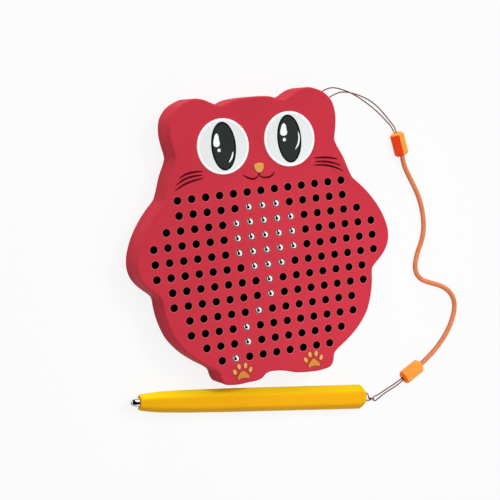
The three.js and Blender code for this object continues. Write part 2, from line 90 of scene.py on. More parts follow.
# Routes of the cord and the threads, in millimetres: x, y and a height, or else the height after the list
cord_route = metres([
    (83.1, 45.4, 2.8), (83.6, 42.6, 2.3), (84.9, 39.3, 1.5), (86.8, 34.8), (88.7, 30.5),
    (90.4, 26.2), (91.8, 21), (92.5, 15.4), (92.5, 10.2), (91.6, 5.2), (89.9, 0.9), (87.9, -3),
    (86.3, -7.1), (85.6, -10.8), (86.2, -14), (88.3, -16.8), (91.6, -18.7), (95.4, -20.2),
    (99, -21.8), (102.3, -24), (104.8, -27.1), (106, -30.9), (105.6, -35.2), (103.7, -40),
    (100.5, -45.2), (96.7, -49.6), (92.4, -53.6), (88.8, -56.1, 1.5), (85.6, -57.9, 2.2),
    (83.1, -59.2, 2.8),
], 1.2)
ear_route = metres([
    (80.85, 57.85, 2.8), (80.3, 60.3, 2.3), (79.1, 62.9, 1.1), (77.2, 66, 0.45), (73.5, 70.6, 0.35),
    (69.5, 74.2, 0.35), (64.9, 76.9, 0.4), (60.2, 78.8, 0.55), (56.3, 79.8, 1.1), (52.6, 80, 2.3),
    (48.7, 79.4, 4.4), (45.3, 78.6, 6.6), (43, 77.9, 7.8), (41.2, 76.8), (39, 75.2), (37.2, 74.8),
    (35.7, 75.6), (35.3, 77.2), (36.3, 78.7), (38.3, 80.3), (40, 81.3, 7.9), (41.9, 82, 7.5),
    (44.7, 82.5, 5.9), (48.2, 82.6, 3.8), (51.8, 81.9, 2.4), (55.2, 80.7, 1.8), (58.3, 79.3, 1.6),
    (61.3, 77.6, 1.2), (65.5, 74.8, 0.5), (69.7, 71.4, 0.35), (73.4, 67.9, 0.35), (76.4, 64.4, 0.6),
    (78.6, 60.9, 1.9), (79.75, 57.65, 2.8),
], 8)
pen_thread_route = metres([
    (71.64, -64.59, 2.8), (70.1, -65.6, 2.3), (67.5, -67.4, 0.9), (63.8, -69.1), (60.4, -70.5),
    (58.2, -71.25, 0.45), (56.9, -71.45, 0.7), (55.95, -71.9, 0.85), (55.6, -72.6, 0.85),
    (55.9, -73.3, 0.85), (56.8, -73.7, 0.75), (58.2, -73.25, 0.5), (60.4, -72.1), (63.5, -70.6),
    (67.1, -69, 0.9), (70.4, -66.9, 2.3), (72.1, -65.47, 2.8),
], 0.35)
loop_route = metres([
    (53.05, -71.6, 1.5), (52.4, -70.5, 2.6), (51.2, -68.95, 4.4), (49.9, -68.05, 5.36),
    (48.1, -67.5), (46.9, -67.4), (45.9, -67.85), (45.45, -68.85), (45.3, -69.95), (45.45, -71.05),
    (46.3, -71.5), (47.6, -71.5), (49.3, -71.72, 5.36), (50.9, -72.1, 4.1), (52.2, -72.65, 2.5),
    (53, -72.95, 1.5),
], 5.46)

# Paw print: the pad's outline, and the toes' places with their lean in degrees, in shares of the pad's
# width and height
pad_shares = (
    (-0.46, -0.5), (-0.16, -0.42), (0.16, -0.42), (0.46, -0.5), (0.5, -0.3), (0.3, 0.2),
    (0, 0.5), (-0.3, 0.2), (-0.5, -0.3),
)
toe_places = ((-0.61, 0.44, 24), (-0.25, 0.95, 8), (0.25, 0.95, -8), (0.61, 0.44, -24))

# The nose's outline in shares of its width and height
nose_shares = (
    (-0.2, 0.5), (-0.44, 0.4), (-0.5, 0.15), (-0.4, -0.2), (-0.2, -0.44), (0, -0.5),
    (0.2, -0.44), (0.4, -0.2), (0.5, 0.15), (0.44, 0.4), (0.2, 0.5),
)

# A highlight on a pupil: pointed at its top right and round below, in shares of its box
gleam_shares = (
    (0.66, 1), (0.46, 0.94), (0.2, 0.66), (0.02, 0.32), (0.06, 0.1), (0.36, 0),
    (0.78, 0.02), (1, 0.16), (0.96, 0.5), (0.86, 0.88),
)

# Each eye: its name, its side, the large highlight's corner, width and height, the dot, the crescent
eye_prints = (
    ("left", -1, (-0.0218, 0.0611, 0.0031, 0.0062), (-0.0193, 0.0594),
     ((-0.0124, 0.058), (-0.0133, 0.0554), (-0.0149, 0.0533))),
    ("right", 1, (0.0124, 0.0628, 0.0035, 0.0058), (0.0142, 0.0609),
     ((0.02175, 0.0638), (0.0219, 0.0612), (0.0212, 0.0583), (0.0195, 0.0558))),
)

# Printed lines, through these points
whisker_lines = (
    ((-0.0402, 0.04875), (-0.0362, 0.0503), (-0.032, 0.05075), (-0.02825, 0.0506)),
    ((-0.042, 0.0457), (-0.0378, 0.0479), (-0.0328, 0.0489), (-0.0284, 0.0489)),
    ((-0.0428, 0.0432), (-0.03825, 0.0455), (-0.0337, 0.04675), (-0.0281, 0.0475)),
    ((0.0288, 0.0506), (0.033, 0.0504), (0.0372, 0.0498), (0.0412, 0.04875)),
    ((0.0291, 0.0488), (0.0338, 0.0484), (0.0384, 0.0473), (0.0427, 0.0455)),
    ((0.02825, 0.0473), (0.0338, 0.0467), (0.0388, 0.04525), (0.0435, 0.0429)),
)
mouth_lines = (
    ((-0.0084, 0.04675), (-0.0053, 0.0448), (-0.0028, 0.04425), (-0.0003, 0.0457)),
    ((-0.0003, 0.0457), (0.0013, 0.0446), (0.0038, 0.0442), (0.0063, 0.0448), (0.008, 0.0465)),
    ((-0.0003, 0.0455), (0.0001, 0.0474)),
)

# Sections of the connectors, with a ridge or a flat facet on top, in shares of their width and height
ridged_shares = ((0.5, 0.14), (0, 0.5), (-0.5, 0.14), (-0.5, -0.14), (0, -0.5), (0.5, -0.14))
flat_shares = (
    (0.5, 0.12), (0.3, 0.5), (-0.3, 0.5), (-0.5, 0.12), (-0.5, -0.12), (-0.3, -0.5), (0.3, -0.5),
    (0.5, -0.12),
)

# Pen: place as a share of the length, width share, roundness share
barrel_shares = (
    (0, 0.61, 0.9), (0.022, 0.7, 0.7), (0.085, 0.825, 0.3), (0.2, 0.902, 0.1),
    (0.4, 0.95, 0), (0.6, 0.968, 0), (1, 1, 0),
)
plug_shares = ((0, 1, 0), (0.25, 1, 0), (0.7, 0.82, 0.2), (1, 0.6, 0.6))


def srgb(red, green, blue):
    """A linear colour from the three numbers, 0 to 255, that a picture shows."""
    shares = (value / 255 for value in (red, green, blue))
    return tuple(s / 12.92 if s <= 0.04045 else ((s + 0.055) / 1.055) ** 2.4 for s in shares)


def length(name, default, description):
    return FloatProperty(
        name=name, description=description, default=default, min=0, subtype='DISTANCE', unit='LENGTH',
        precision=5,
    )


def power(name, default, description):
    return FloatProperty(name=name, description=description, default=default, min=0, unit='POWER')


def colour(name, default, description):
    return FloatVectorProperty(
        name=name, description=description, default=default, size=3, min=0, max=1, subtype='COLOR',
    )


class BoardSizes(bpy.types.PropertyGroup):
    pitch: length("Pitch", 0.007, "Distance between neighbouring holes")
    throat: length("Hole width", 0.0037, "Width of a hole at the face")
    cell: length("Cell width", 0.0045, "Width of a hole behind the face plate")
    hole_round: length("Hole rounding", 0.00032, "Rounding of the mouth of a hole")
    ball: length("Ball", 0.004, "Diameter of a ball")
    edge: length("Edge rounding", 0.0009, "Rounding of the rim of the face")
    low_edge: length("Lower edge", 0.0004, "Rounding of the lower edge of the side wall")
    wall: length("Wall", 0.0022, "Thickness of the side wall")
    plate: length("Face plate", 0.0026, "Thickness of the face plate")
    ear_hole: length("Ear hole", 0.0018, "Width of a thread hole in the ear")
    ear_spacing: length("Ear hole spacing", 0.0046, "Distance between the two thread holes in the ear")
    tray_margin: length("Tray margin", 0.0033, "Reach of the tray beyond the middle of the outer holes")
    tray_wall: length("Tray wall", 0.0009, "Thickness of the tray's wall")
    tray_floor: length("Tray floor", 0.0015, "Thickness of the tray's floor")
    cover: length("Cover", 0.0024, "Thickness of the rear cover")
    rib_width: length("Rib width", 0.0012, "Width of a rib that carries the tray")
    rib_length: length("Rib length", 0.07, "Length of a rib that carries the tray")
    rib_spacing: length("Rib spacing", 0.028, "Distance between the ribs")
    boss: length("Boss", 0.005, "Diameter of a screw boss")
    screw: length("Screw", 0.0022, "Diameter of a screw's shank")
    screw_head: length("Screw head", 0.0042, "Diameter of a screw's head")
    head_height: length("Head height", 0.0012, "Height of a screw's head")
    thread_pitch: length("Thread pitch", 0.0007, "Distance between the turns of a screw's thread")
    clearance: length("Clearance", 0.0003, "Gap between pieces that fit in one another")


class FaceSizes(bpy.types.PropertyGroup):
    print_height: length("Print", 0.00003, "Thickness of a printed layer")
    eye_rim: length("Eye rim", 0.0011, "Width of the brighter ring round an eye")
    pupil_x: length("Pupil place", 0.0168, "Distance of a pupil from the middle line")
    pupil_y: length("Pupil height", 0.0611, "Height of the pupils above the middle of the holes")
    pupil_width: length("Pupil width", 0.0124, "Width of a pupil")
    pupil_tall: length("Pupil length", 0.0227, "Length of a pupil from top to bottom")
    pupil_line: length("Pupil outline", 0.0008, "Width of the line round a pupil")
    dot: length("Dot", 0.0016, "Diameter of the small highlight")
    crescent: length("Crescent", 0.0008, "Width of the curved highlight")
    mouth_line: length("Mouth line", 0.00095, "Width of the mouth's lines")
    whisker_line: length("Whisker line", 0.00105, "Width of a whisker")
    pad_x: length("Paw place", 0.01845, "Distance of a paw print from the middle line")
    pad_drop: length("Paw drop", 0.0081, "Distance of a paw print below the last row of holes")
    pad_width: length("Pad width", 0.0066, "Width of a paw print's pad")
    pad_height: length("Pad height", 0.0044, "Height of a paw print's pad")
    pad_relief: length("Pad relief", 0.0004, "How far a paw print stands out of the face")
    toe_width: length("Toe width", 0.0024, "Width of a toe")
    toe_height: length("Toe height", 0.0033, "Height of a toe")


class PenSizes(bpy.types.PropertyGroup):
    width: length("Width", 0.0126, "Width of the barrel over two corners")
    corner: length("Corner rounding", 0.002, "Rounding of the barrel's long corners")
    tip: length("Tip", 0.0047, "Diameter of the tip")
    dome: length("Dome", 0.0032, "Length of the rounded end of the tip")
    bore: length("Bore", 0.0074, "Diameter of the bore")
    magnet_seat: length("Magnet seat", 0.0064, "Diameter of the bore round the magnet")
    spigot: length("Spigot", 0.006, "How far the end plug reaches into the barrel")
    thread_hole: length("Thread hole", 0.0014, "Diameter of a thread hole in the end plug")
    thread_spacing: length("Thread spacing", 0.004, "Distance between the two thread holes")
    thread_depth: length("Thread depth", 0.003, "Depth of the thread holes")


class LanyardSizes(bpy.types.PropertyGroup):
    cord: length("Cord", 0.0024, "Diameter of the cord")
    thread: length("Thread", 0.0006, "Diameter of the threads")
    end_reach: length("End reach", 0.0012, "How far a cord's end runs into what holds it")
    bead_length: length("Connector length", 0.012, "Length of a connector")
    bead_width: length("Connector width", 0.0072, "Width of a connector")
    bead_height: length("Connector height", 0.0056, "Height of a connector")
    bead_bevel: length("Connector bevel", 0.0011, "Bevel at the ends of a connector")
    socket: length("Socket", 0.0016, "Depth of the cord's socket in a connector")


class BoardColours(bpy.types.PropertyGroup):
    shell: colour("Shell", srgb(202, 55, 70), "Red of the shell")
    # Painted highlight: a paler red on the face's rounded rim, where light catches it
    shell_edge: colour("Shell edge", srgb(212, 68, 82), "Paler red of the rounded rim")
    # Painted highlight: a paler ring on the rounded mouth of every hole
    rim: colour("Hole rims", srgb(204, 86, 98), "Paler red of the holes' mouths")
    cover: colour("Cover", srgb(150, 36, 50), "Darker red of the rear cover")
    # The tray's own black, which is also laid on the holes' walls as painted shade
    tray: colour("Tray", srgb(14, 12, 13), "Black of the tray and of the holes' walls")
    steel: colour("Steel", srgb(249, 249, 248), "Polished steel")
    # Painted shade: steel coloured near black for the balls that lie in the dark of the holes
    dropped_steel: colour("Dropped balls", srgb(20, 19, 19), "Steel in the dark of the holes")
    zinc: colour("Screws", srgb(170, 170, 166), "Zinc plated steel")
    white: colour("Eye white", srgb(233, 236, 236), "White of the eyes")
    eye_rim: colour("Eye rim", srgb(254, 254, 254), "Brighter white round the eyes")
    pupil: colour("Pupil", srgb(46, 50, 50), "Grey of the pupils")
    outline: colour("Pupil outline", srgb(14, 16, 17), "Black round the pupils")
    ink: colour("Print", srgb(84, 6, 16), "Dark red of the mouth and whiskers")
    gold: colour("Gold", srgb(221, 156, 76), "Gold of the nose")
    pad_gold: colour("Paw prints", srgb(214, 138, 58), "Darker gold of the paw prints")
    toe_gold: colour("Toes", srgb(232, 166, 98), "Paler gold of the toes of the paw prints")
    # Painted shade: brown on the rounded sides of the nose and paw prints
    gold_edge: colour("Gold edge", srgb(138, 74, 30), "Brown at the sides of the nose and paw prints")
    pen: colour("Pen", srgb(248, 180, 22), "Yellow of the pen")
    # Painted light: the pen's side towards the board is yellower, as if lit more
    pen_flank: colour("Pen flank", srgb(255, 224, 26), "Yellower tone of the pen's side towards the board")
    # Lit and shaded copies of one plastic: the depth tones are painted shade on the connectors' sides turned
    # from the lights
    upper_bead: colour("Upper connector", srgb(255, 166, 38), "Golden orange of the upper connector")
    upper_depth: colour("Upper depth", srgb(238, 66, 6), "Deep orange of the upper connector's shaded side")
    lower_bead: colour("Lower connector", srgb(252, 162, 64), "Pale orange of the lower connector")
    lower_depth: colour("Lower depth", srgb(255, 108, 14), "Deep orange of the lower connector's shaded end")
    cord: colour("Cord", srgb(232, 132, 80), "Orange of the cord")
    # Painted shade: a darker orange on the cord's flanks, away from its top
    cord_flank: colour("Cord flanks", srgb(188, 104, 58), "Darker orange of the cord's flanks")
    thread: colour("Thread", srgb(124, 66, 50), "Brown of the threads")
    nickel: colour("Magnet", srgb(190, 186, 176), "Nickel plating of the magnet")


class StudioSettings(bpy.types.PropertyGroup):
    camera_place: FloatVectorProperty(
        name="Camera", description="Where the camera stands", subtype='TRANSLATION', unit='LENGTH',
        default=(-0.30795, 0.09079, 0.73613),
    )
    camera_turn: FloatVectorProperty(
        name="Camera turn", description="How the camera is turned", subtype='EULER', unit='ROTATION',
        default=(radians(-3.438), radians(-23.032), radians(-6.13)),
    )
    focal: FloatProperty(
        name="Focal length", description="In millimetres on a 36 mm sensor", default=120.4, unit='CAMERA',
    )
    top: power("Top light", 3.6, "Power of the top light")
    key: power("Key light", 6.2, "Power of the key light")
    near: power("Near light", 0.07, "Power of the near light")
    rim: power("Rim light", 3, "Power of the light behind the ears")
    ambient: FloatProperty(
        name="Ambient", description="Strength of the light from all round", default=0.43, min=0, max=1,
        subtype='FACTOR',
    )


def sizes():
    return bpy.context.scene.board_sizes


def face_sizes():
    return bpy.context.scene.face_sizes


def pen_sizes():
    return bpy.context.scene.pen_sizes


def lanyard_sizes():
    return bpy.context.scene.lanyard_sizes


def tone(name):
    """The colour of that name, with its opacity."""
    return (*getattr(bpy.context.scene.board_colours, name), 1.0)


# Shapes


def activate(piece):
    bpy.ops.object.select_all(action='DESELECT')
    piece.select_set(True)
    bpy.context.view_layer.objects.active = piece


@contextmanager
def editing(piece):
    """Edit mode on one piece, with nothing selected at first."""
    activate(piece)
    bpy.ops.object.mode_set(mode='EDIT')
    bpy.ops.mesh.select_mode(type='VERT')
    bpy.ops.mesh.select_all(action='DESELECT')
    yield
    bpy.ops.object.mode_set(mode='OBJECT')


def pick(piece, kind, test):
    """Selects the faces, edges or vertices of the edited piece that pass a test."""
    bpy.ops.mesh.select_mode(type={'verts': 'VERT', 'edges': 'EDGE', 'faces': 'FACE'}[kind])
    bpy.ops.mesh.select_all(action='DESELECT')
    mesh = bmesh.from_edit_mesh(piece.data)
    mesh.normal_update()
    for part in getattr(mesh, kind):
        part.select_set(test(part))
    bmesh.update_edit_mesh(piece.data)


def level(height):
    """A test for edges and faces that lie at one height."""
    return lambda part: all(abs(vertex.co.z - height) < tiny for vertex in part.verts)


def upright(edge):
    low, high = (vertex.co for vertex in edge.verts)
    return hypot(high.x - low.x, high.y - low.y) < tiny


def named(name):
    """Names the primitive that was just added."""
    piece = bpy.context.object
    piece.name = piece.data.name = name
    return piece


def tidy_normals():
    bpy.ops.mesh.select_all(action='SELECT')
    bpy.ops.mesh.remove_doubles(threshold=tiny / 10)
    bpy.ops.mesh.normals_make_consistent(inside=False)


def plate(name, points, low, high):
    """A flat piece of one outline between two heights: a filled circle drawn along the points."""
    bpy.ops.object.select_all(action='DESELECT')
    bpy.ops.mesh.primitive_circle_add(vertices=len(points), fill_type='NGON')
    piece = named(name)
    for vertex, point in zip(piece.data.vertices, points):
        vertex.co = (point[0], point[1], low)
    with editing(piece):
        bpy.ops.mesh.select_all(action='SELECT')
        bpy.ops.mesh.extrude_region_move(TRANSFORM_OT_translate={"value": (0, 0, high - low)})
        tidy_normals()
    return piece


def round_edges(piece, test, radius, segments):
    with editing(piece):
        pick(piece, 'edges', test)
        bpy.ops.mesh.bevel(offset=radius, segments=segments, affect='EDGES', clamp_overlap=False)


def bar(name, wide, deep, low, high, x=0.0):
    """A block between two heights, with its middle at a distance along X."""
    wide, deep = wide / 2, deep / 2
    return plate(name, [(x - wide, -deep), (x + wide, -deep), (x + wide, deep), (x - wide, deep)], low, high)


def lathe(name, profile, steps, place=(0, 0)):
    """Turns a profile of radius and height about the upright axis and moves it to its place."""
    bpy.ops.object.select_all(action='DESELECT')
    bpy.ops.mesh.primitive_plane_add(size=1)
    piece = named(name)
    with editing(piece):
        bpy.ops.mesh.select_all(action='SELECT')
        bpy.ops.mesh.merge(type='CENTER')
        bpy.ops.transform.translate(value=(profile[0][0], 0, profile[0][1]))
        for start, end in zip(profile, profile[1:]):
            step = (end[0] - start[0], 0, end[1] - start[1])
            bpy.ops.mesh.extrude_vertices_move(TRANSFORM_OT_translate={"value": step})
        bpy.ops.mesh.select_all(action='SELECT')
        bpy.ops.mesh.spin(steps=steps, angle=tau, center=(0, 0, 0), axis=(0, 0, 1))
        tidy_normals()
    return moved(piece, *place)


def rod(name, radius, low, high, steps, place=(0, 0)):
    return lathe(name, [(0, low), (radius, low), (radius, high), (0, high)], steps, place)


def flared(name, radius, low, high, flare, lip, steps):
    """A rod that widens at its high end, for a hole with a broken edge."""
    profile = [(0, low), (radius, low), (radius, high - lip), (radius + flare, high + lip), (0, high + lip)]
    return lathe(name, profile, steps)


def arc(centre, radius, start, end, steps):
    """Points of an arc, from one angle to another in degrees."""
    angles = (radians(start + (end - start) * i / steps) for i in range(steps + 1))
    return [(centre[0] + radius * cos(angle), centre[1] + radius * sin(angle)) for angle in angles]


def oval(x, y, across, up, steps, lean=0):
    """Points round an ellipse of two half widths, turned by an angle in degrees."""
    turn = radians(lean)
    points = ((across * cos(tau * i / steps), up * sin(tau * i / steps)) for i in range(steps))
    return [(x + a * cos(turn) - b * sin(turn), y + a * sin(turn) + b * cos(turn)) for a, b in points]


def scaled(shares, x, y, width, height):
    """Points that lie at shares of a width and a height from a place."""
    return [(x + u * width, y + v * height, 0) for u, v in shares]


def moved(piece, x=0.0, y=0.0, z=0.0):
    piece.data.transform(Matrix.Translation((x, y, z)))
    return piece


def twin(piece, place):
    """A copy of the piece, moved to a place."""
    copy = piece.copy()
    copy.data = piece.data.copy()
    bpy.context.collection.objects.link(copy)
    return moved(copy, *place)


def copies(piece, name, places):
    """One mesh of a copy of the piece at each place; the piece itself is used up."""
    made = [twin(piece, place) for place in places]
    bpy.data.objects.remove(piece)
    return joined(name, made)


def joined(name, pieces):
    activate(pieces[0])
    for piece in pieces:
        piece.select_set(True)
    if len(pieces) > 1:
        bpy.ops.object.join()
    return named(name)


def combine(piece, tool, operation):
    activate(piece)
    modifier = piece.modifiers.new("combine", 'BOOLEAN')
    modifier.operation = operation
    modifier.solver = 'MANIFOLD'
    modifier.object = tool
    bpy.ops.object.modifier_apply(modifier=modifier.name)
    bpy.data.objects.remove(tool)
    if not piece.data.polygons:
        raise RuntimeError(f"nothing is left of {piece.name}")


def cut(piece, *tools):
    for tool in tools:
        combine(piece, tool, 'DIFFERENCE')


def smooth(piece, angle=40, weighted=False):
    """Smooth shading up to an angle; weighted keeps large flat faces flat."""
    activate(piece)
    bpy.ops.object.shade_smooth_by_angle(angle=radians(angle))
    if weighted:
        modifier = piece.modifiers.new("weighted", 'WEIGHTED_NORMAL')
        modifier.keep_sharp = True
        bpy.ops.object.modifier_apply(modifier=modifier.name)


def smooth_curve(points, steps, closed):
    """A smooth curve through the points, with as many steps between each two."""
    knots = [Vector(point) for point in points]
    count = len(knots)
    tangents = []
    for i, knot in enumerate(knots):
        before = knot - knots[i - 1] if closed or i > 0 else knots[1] - knots[0]
        after = knots[(i + 1) % count] - knot if closed or i < count - 1 else before
        weighted = before.normalized() * after.length + after.normalized() * before.length
        tangents.append(weighted.normalized())
    curve = []
    for i in range(count if closed else count - 1):
        start, end = knots[i], knots[(i + 1) % count]
        reach = (end - start).length / 3
        handles = start + tangents[i] * reach, end - tangents[(i + 1) % count] * reach
        curve += interpolate_bezier(start, *handles, end, steps + 1)[:-1]
    return curve if closed else curve + [knots[-1]]


def tube(name, path, radius, sides, closed=False):
    """A tube round a path. Its UV map runs round it in shares and along it in metres.

    The radius is one number, or a function of the share of the path's length."""
    points = [Vector(point) for point in path]
    count = len(points)
    ahead = [points[(i + 1) % count] if closed else points[min(i + 1, count - 1)] for i in range(count)]
    behind = [points[i - 1] if closed else points[max(i - 1, 0)] for i in range(count)]
    side = Vector((0, 0, 1))
    frames = []
    for after, before in zip(ahead, behind):
        along = (after - before).normalized()
        side = (side - along * side.dot(along)).normalized()
        frames.append((side, along.cross(side)))
    lengths = [0.0]
    for start, end in zip(points, points[1:] + points[:1]):
        lengths.append(lengths[-1] + (end - start).length)
    mesh = bmesh.new()
    uv = mesh.loops.layers.uv.new("lay")
    rings = []
    for i, (point, (up, across)) in enumerate(zip(points, frames)):
        reach = radius(lengths[i] / lengths[count - 1]) if callable(radius) else radius
        angles = (tau * k / sides for k in range(sides))
        rings.append([mesh.verts.new(point + (up * cos(a) + across * sin(a)) * reach) for a in angles])
    for i in range(count if closed else count - 1):
        low, high = rings[i], rings[(i + 1) % count]
        for k in range(sides):
            after = (k + 1) % sides
            quad = mesh.faces.new((low[k], high[k], high[after], low[after]))
            shares = (k, lengths[i]), (k, lengths[i + 1]), (k + 1, lengths[i + 1]), (k + 1, lengths[i])
            for loop, (u, v) in zip(quad.loops, shares):
                loop[uv].uv = (u / sides, v)
    if not closed:
        mesh.faces.new(rings[0])
        mesh.faces.new(list(reversed(rings[-1])))
    bmesh.ops.recalc_face_normals(mesh, faces=mesh.faces)
    data = bpy.data.meshes.new(name)
    mesh.to_mesh(data)
    mesh.free()
    piece = bpy.data.objects.new(name, data)
    bpy.context.collection.objects.link(piece)
    smooth(piece, 60)
    return piece


def dress(piece, material, body, replaced=()):
    """Gives a finished piece its material and the body that it moves with, and hides the imported parts that
    it replaces.
    """
    if material:
        piece.data.materials.clear()
        piece.data.materials.append(material)
    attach(piece, body)
    if replaced:
        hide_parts(*replaced)
    return piece


# Finishes


def feed(tree, sockets, values):
    """Sets each socket to its value, or links another node's output to it."""
    for name, value in values.items():
        if isinstance(value, bpy.types.NodeSocket):
            tree.links.new(value, sockets[name])
        else:
            sockets[name].default_value = value


def add_node(tree, kind, values, **settings):
    """The outputs of a new node with these inputs and settings."""
    node = tree.nodes.new(kind)
    for name, value in settings.items():
        setattr(node, name, value)
    feed(tree, node.inputs, values)
    return node.outputs


def maths(tree, operation, first, second=0.0, clamp=False):
    return add_node(tree, 'ShaderNodeMath', {0: first, 1: second}, operation=operation, use_clamp=clamp)[0]


def dot_product(tree, first, second):
    return add_node(tree, 'ShaderNodeVectorMath', {0: first, 1: second}, operation='DOT_PRODUCT')["Value"]


def upward(tree, vector):
    """The Z part of a vector."""
    return add_node(tree, 'ShaderNodeSeparateXYZ', {0: vector})["Z"]


def spread(tree, value, low, high, to_low=0.0, to_high=1.0):
    """Maps a value from one range to another, held at the ends."""
    limits = {"Value": value, "From Min": low, "From Max": high, "To Min": to_low, "To Max": to_high}
    return add_node(tree, 'ShaderNodeMapRange', limits)[0]


def noise(tree, vector, scale, detail=2.0):
    return add_node(tree, 'ShaderNodeTexNoise', {"Vector": vector, "Scale": scale, "Detail": detail})["Fac"]


def blend_colours(tree, share, first, second):
    return add_node(tree, 'ShaderNodeMix', {0: share, 6: first, 7: second}, data_type='RGBA')[2]


def group(name, inputs, outputs, kind, build):
    """A shader node group, built once by the function that fills it. An input of None is a vector."""
    tree = bpy.data.node_groups.get(name)
    if tree:
        return tree
    tree = bpy.data.node_groups.new(name, 'ShaderNodeTree')
    for socket, default in inputs.items():
        shape = "Vector" if default is None else "Color" if isinstance(default, tuple) else "Float"
        made = tree.interface.new_socket(socket, in_out='INPUT', socket_type=f'NodeSocket{shape}')
        if default is not None:
            made.default_value = default
    for socket in outputs:
        tree.interface.new_socket(socket, in_out='OUTPUT', socket_type=f'NodeSocket{kind}')
    results = build(tree, tree.nodes.new('NodeGroupInput').outputs)
    feed(tree, tree.nodes.new('NodeGroupOutput').inputs, dict(zip(outputs, results)))
    return tree


def placed(tree, shared, **values):
    """The outputs of a shared group set into a material, with its own values."""
    return add_node(tree, 'ShaderNodeGroup', values, node_tree=shared)


def grain_group():
    def build(tree, given):
        coarse = noise(tree, given["Vector"], given["Scale"], 3.0)
        fine = noise(tree, given["Vector"], maths(tree, 'MULTIPLY', given["Scale"], 3.7))
        shares = maths(tree, 'MULTIPLY', coarse, 0.7), maths(tree, 'MULTIPLY', fine, 0.3)
        return [maths(tree, 'ADD', *shares)]
    return group("fine_grain", {"Vector": None, "Scale": 1000.0}, ["Height"], "Float", build)


def drift_group():
    def build(tree, given):
        patches = noise(tree, given["Vector"], given["Scale"])
        low = maths(tree, 'SUBTRACT', 1.0, given["Amount"])
        high = maths(tree, 'ADD', 1.0, given["Amount"])
        shade = spread(tree, patches, 0.3, 0.7, low, high)
        values = {0: given["Colour"], "Scale": shade}
        return [add_node(tree, 'ShaderNodeVectorMath', values, operation='SCALE')[0]]
    inputs = {"Vector": None, "Colour": (0.8, 0.8, 0.8, 1.0), "Scale": 30.0, "Amount": 0.05}
    return group("tone_drift", inputs, ["Colour"], "Color", build)


def handling_group():
    def build(tree, given):
        smears = noise(tree, given["Vector"], given["Scale"], 4.0)
        change = maths(tree, 'MULTIPLY', spread(tree, smears, 0.42, 0.62), given["Amount"])
        return [maths(tree, 'SUBTRACT', given["Roughness"], change, True)]
    inputs = {"Vector": None, "Roughness": 0.5, "Scale": 60.0, "Amount": 0.08}
    return group("handling_wear", inputs, ["Roughness"], "Float", build)


def painted_light_group():
    """A mask for painted light: what faces aslant to a direction, neither along it nor square to it, broken
    up a little.
    """
    def build(tree, given):
        height = dot_product(tree, given["Normal"], given["Lean"])
        rising, falling = spread(tree, height, 0.25, 0.6), spread(tree, height, 0.75, 0.97, 1.0, 0.0)
        band = maths(tree, 'MULTIPLY', rising, falling)
        low = maths(tree, 'SUBTRACT', 1.0, given["Gaps"])
        patches = noise(tree, given["Vector"], given["Scale"], 3.0)
        return [maths(tree, 'MULTIPLY', band, spread(tree, patches, 0.35, 0.65, low, 1.0))]
    inputs = {"Vector": None, "Normal": None, "Lean": None, "Scale": 120.0, "Gaps": 0.55}
    return group("edge_wear", inputs, ["Mask"], "Float", build)


def lay_group():
    """Strands laid round a cord: their height, and a mask of the grooves between them."""
    def build(tree, given):
        parts = add_node(tree, 'ShaderNodeSeparateXYZ', {0: given["UV"]})
        turn = maths(tree, 'MULTIPLY', parts["Y"], given["Turns"])
        round_share = maths(tree, 'MULTIPLY', parts["X"], given["Strands"])
        phase = maths(tree, 'FRACT', maths(tree, 'ADD', round_share, turn))
        from_middle = maths(tree, 'ABSOLUTE', maths(tree, 'SUBTRACT', phase, 0.5))
        fall = maths(tree, 'MULTIPLY', maths(tree, 'POWER', from_middle, 2.0), 4.0)
        return maths(tree, 'SUBTRACT', 1.0, fall), spread(tree, from_middle, 0.3, 0.5)
    inputs = {"UV": None, "Strands": 2.0, "Turns": 400.0}
    return group("strand_lay", inputs, ["Height", "Groove"], "Float", build)


def blank(name, values):
    """A material with its shader's own sockets set, and its tree."""
    material = bpy.data.materials.new(name)
    material.use_nodes = True
    tree = material.node_tree
    feed(tree, tree.nodes["Principled BSDF"].inputs, values)
    return material, tree


def worn_surface(name, colour, values, roughness, drift, wear):
    """A material, its tree, its coordinates and its drifting tone, with roughness rubbed in patches.

    Drift and wear are each a scale and an amount."""
    material, tree = blank(name, values)
    where = add_node(tree, 'ShaderNodeTexCoord', {})
    place = where["Object"]
    toned = placed(tree, drift_group(), Vector=place, Colour=colour, Scale=drift[0], Amount=drift[1])
    rubbed = placed(tree, handling_group(), Vector=place, Roughness=roughness, Scale=wear[0], Amount=wear[1])
    feed(tree, tree.nodes["Principled BSDF"].inputs, {"Roughness": rubbed["Roughness"]})
    return material, tree, where, toned["Colour"]


def with_relief(material, colour, height, strength, distance):
    """The material with its colour and its bump."""
    tree = material.node_tree
    relief = add_node(tree, 'ShaderNodeBump', {"Height": height, "Strength": strength, "Distance": distance})
    feed(tree, tree.nodes["Principled BSDF"].inputs, {"Base Color": colour, "Normal": relief[0]})
    return material


def moulded(name, colour, values, roughness, grain=0.12, drift=0.04, edge=None):
    """Moulded plastic or paint: fine grain, slow drift of tone, patches rubbed by hands, and painted light as
    a second tone on faces aslant to a given direction.
    """
    material, tree, where, toned = worn_surface(name, colour, values, roughness, (34.0, drift), (60.0, 0.08))
    # Painted light: a second tone where the faces lean towards the given direction
    if edge:
        painted_light_tone, share, lean, gaps = edge
        values = {"Vector": where["Object"], "Normal": where["Normal"], "Lean": lean, "Gaps": gaps}
        mask = placed(tree, painted_light_group(), **values)["Mask"]
        toned = blend_colours(tree, maths(tree, 'MULTIPLY', mask, share), toned, tone(painted_light_tone))
    height = placed(tree, grain_group(), Vector=where["Object"], Scale=1500.0)["Height"]
    return with_relief(material, toned, height, grain, 0.0002)


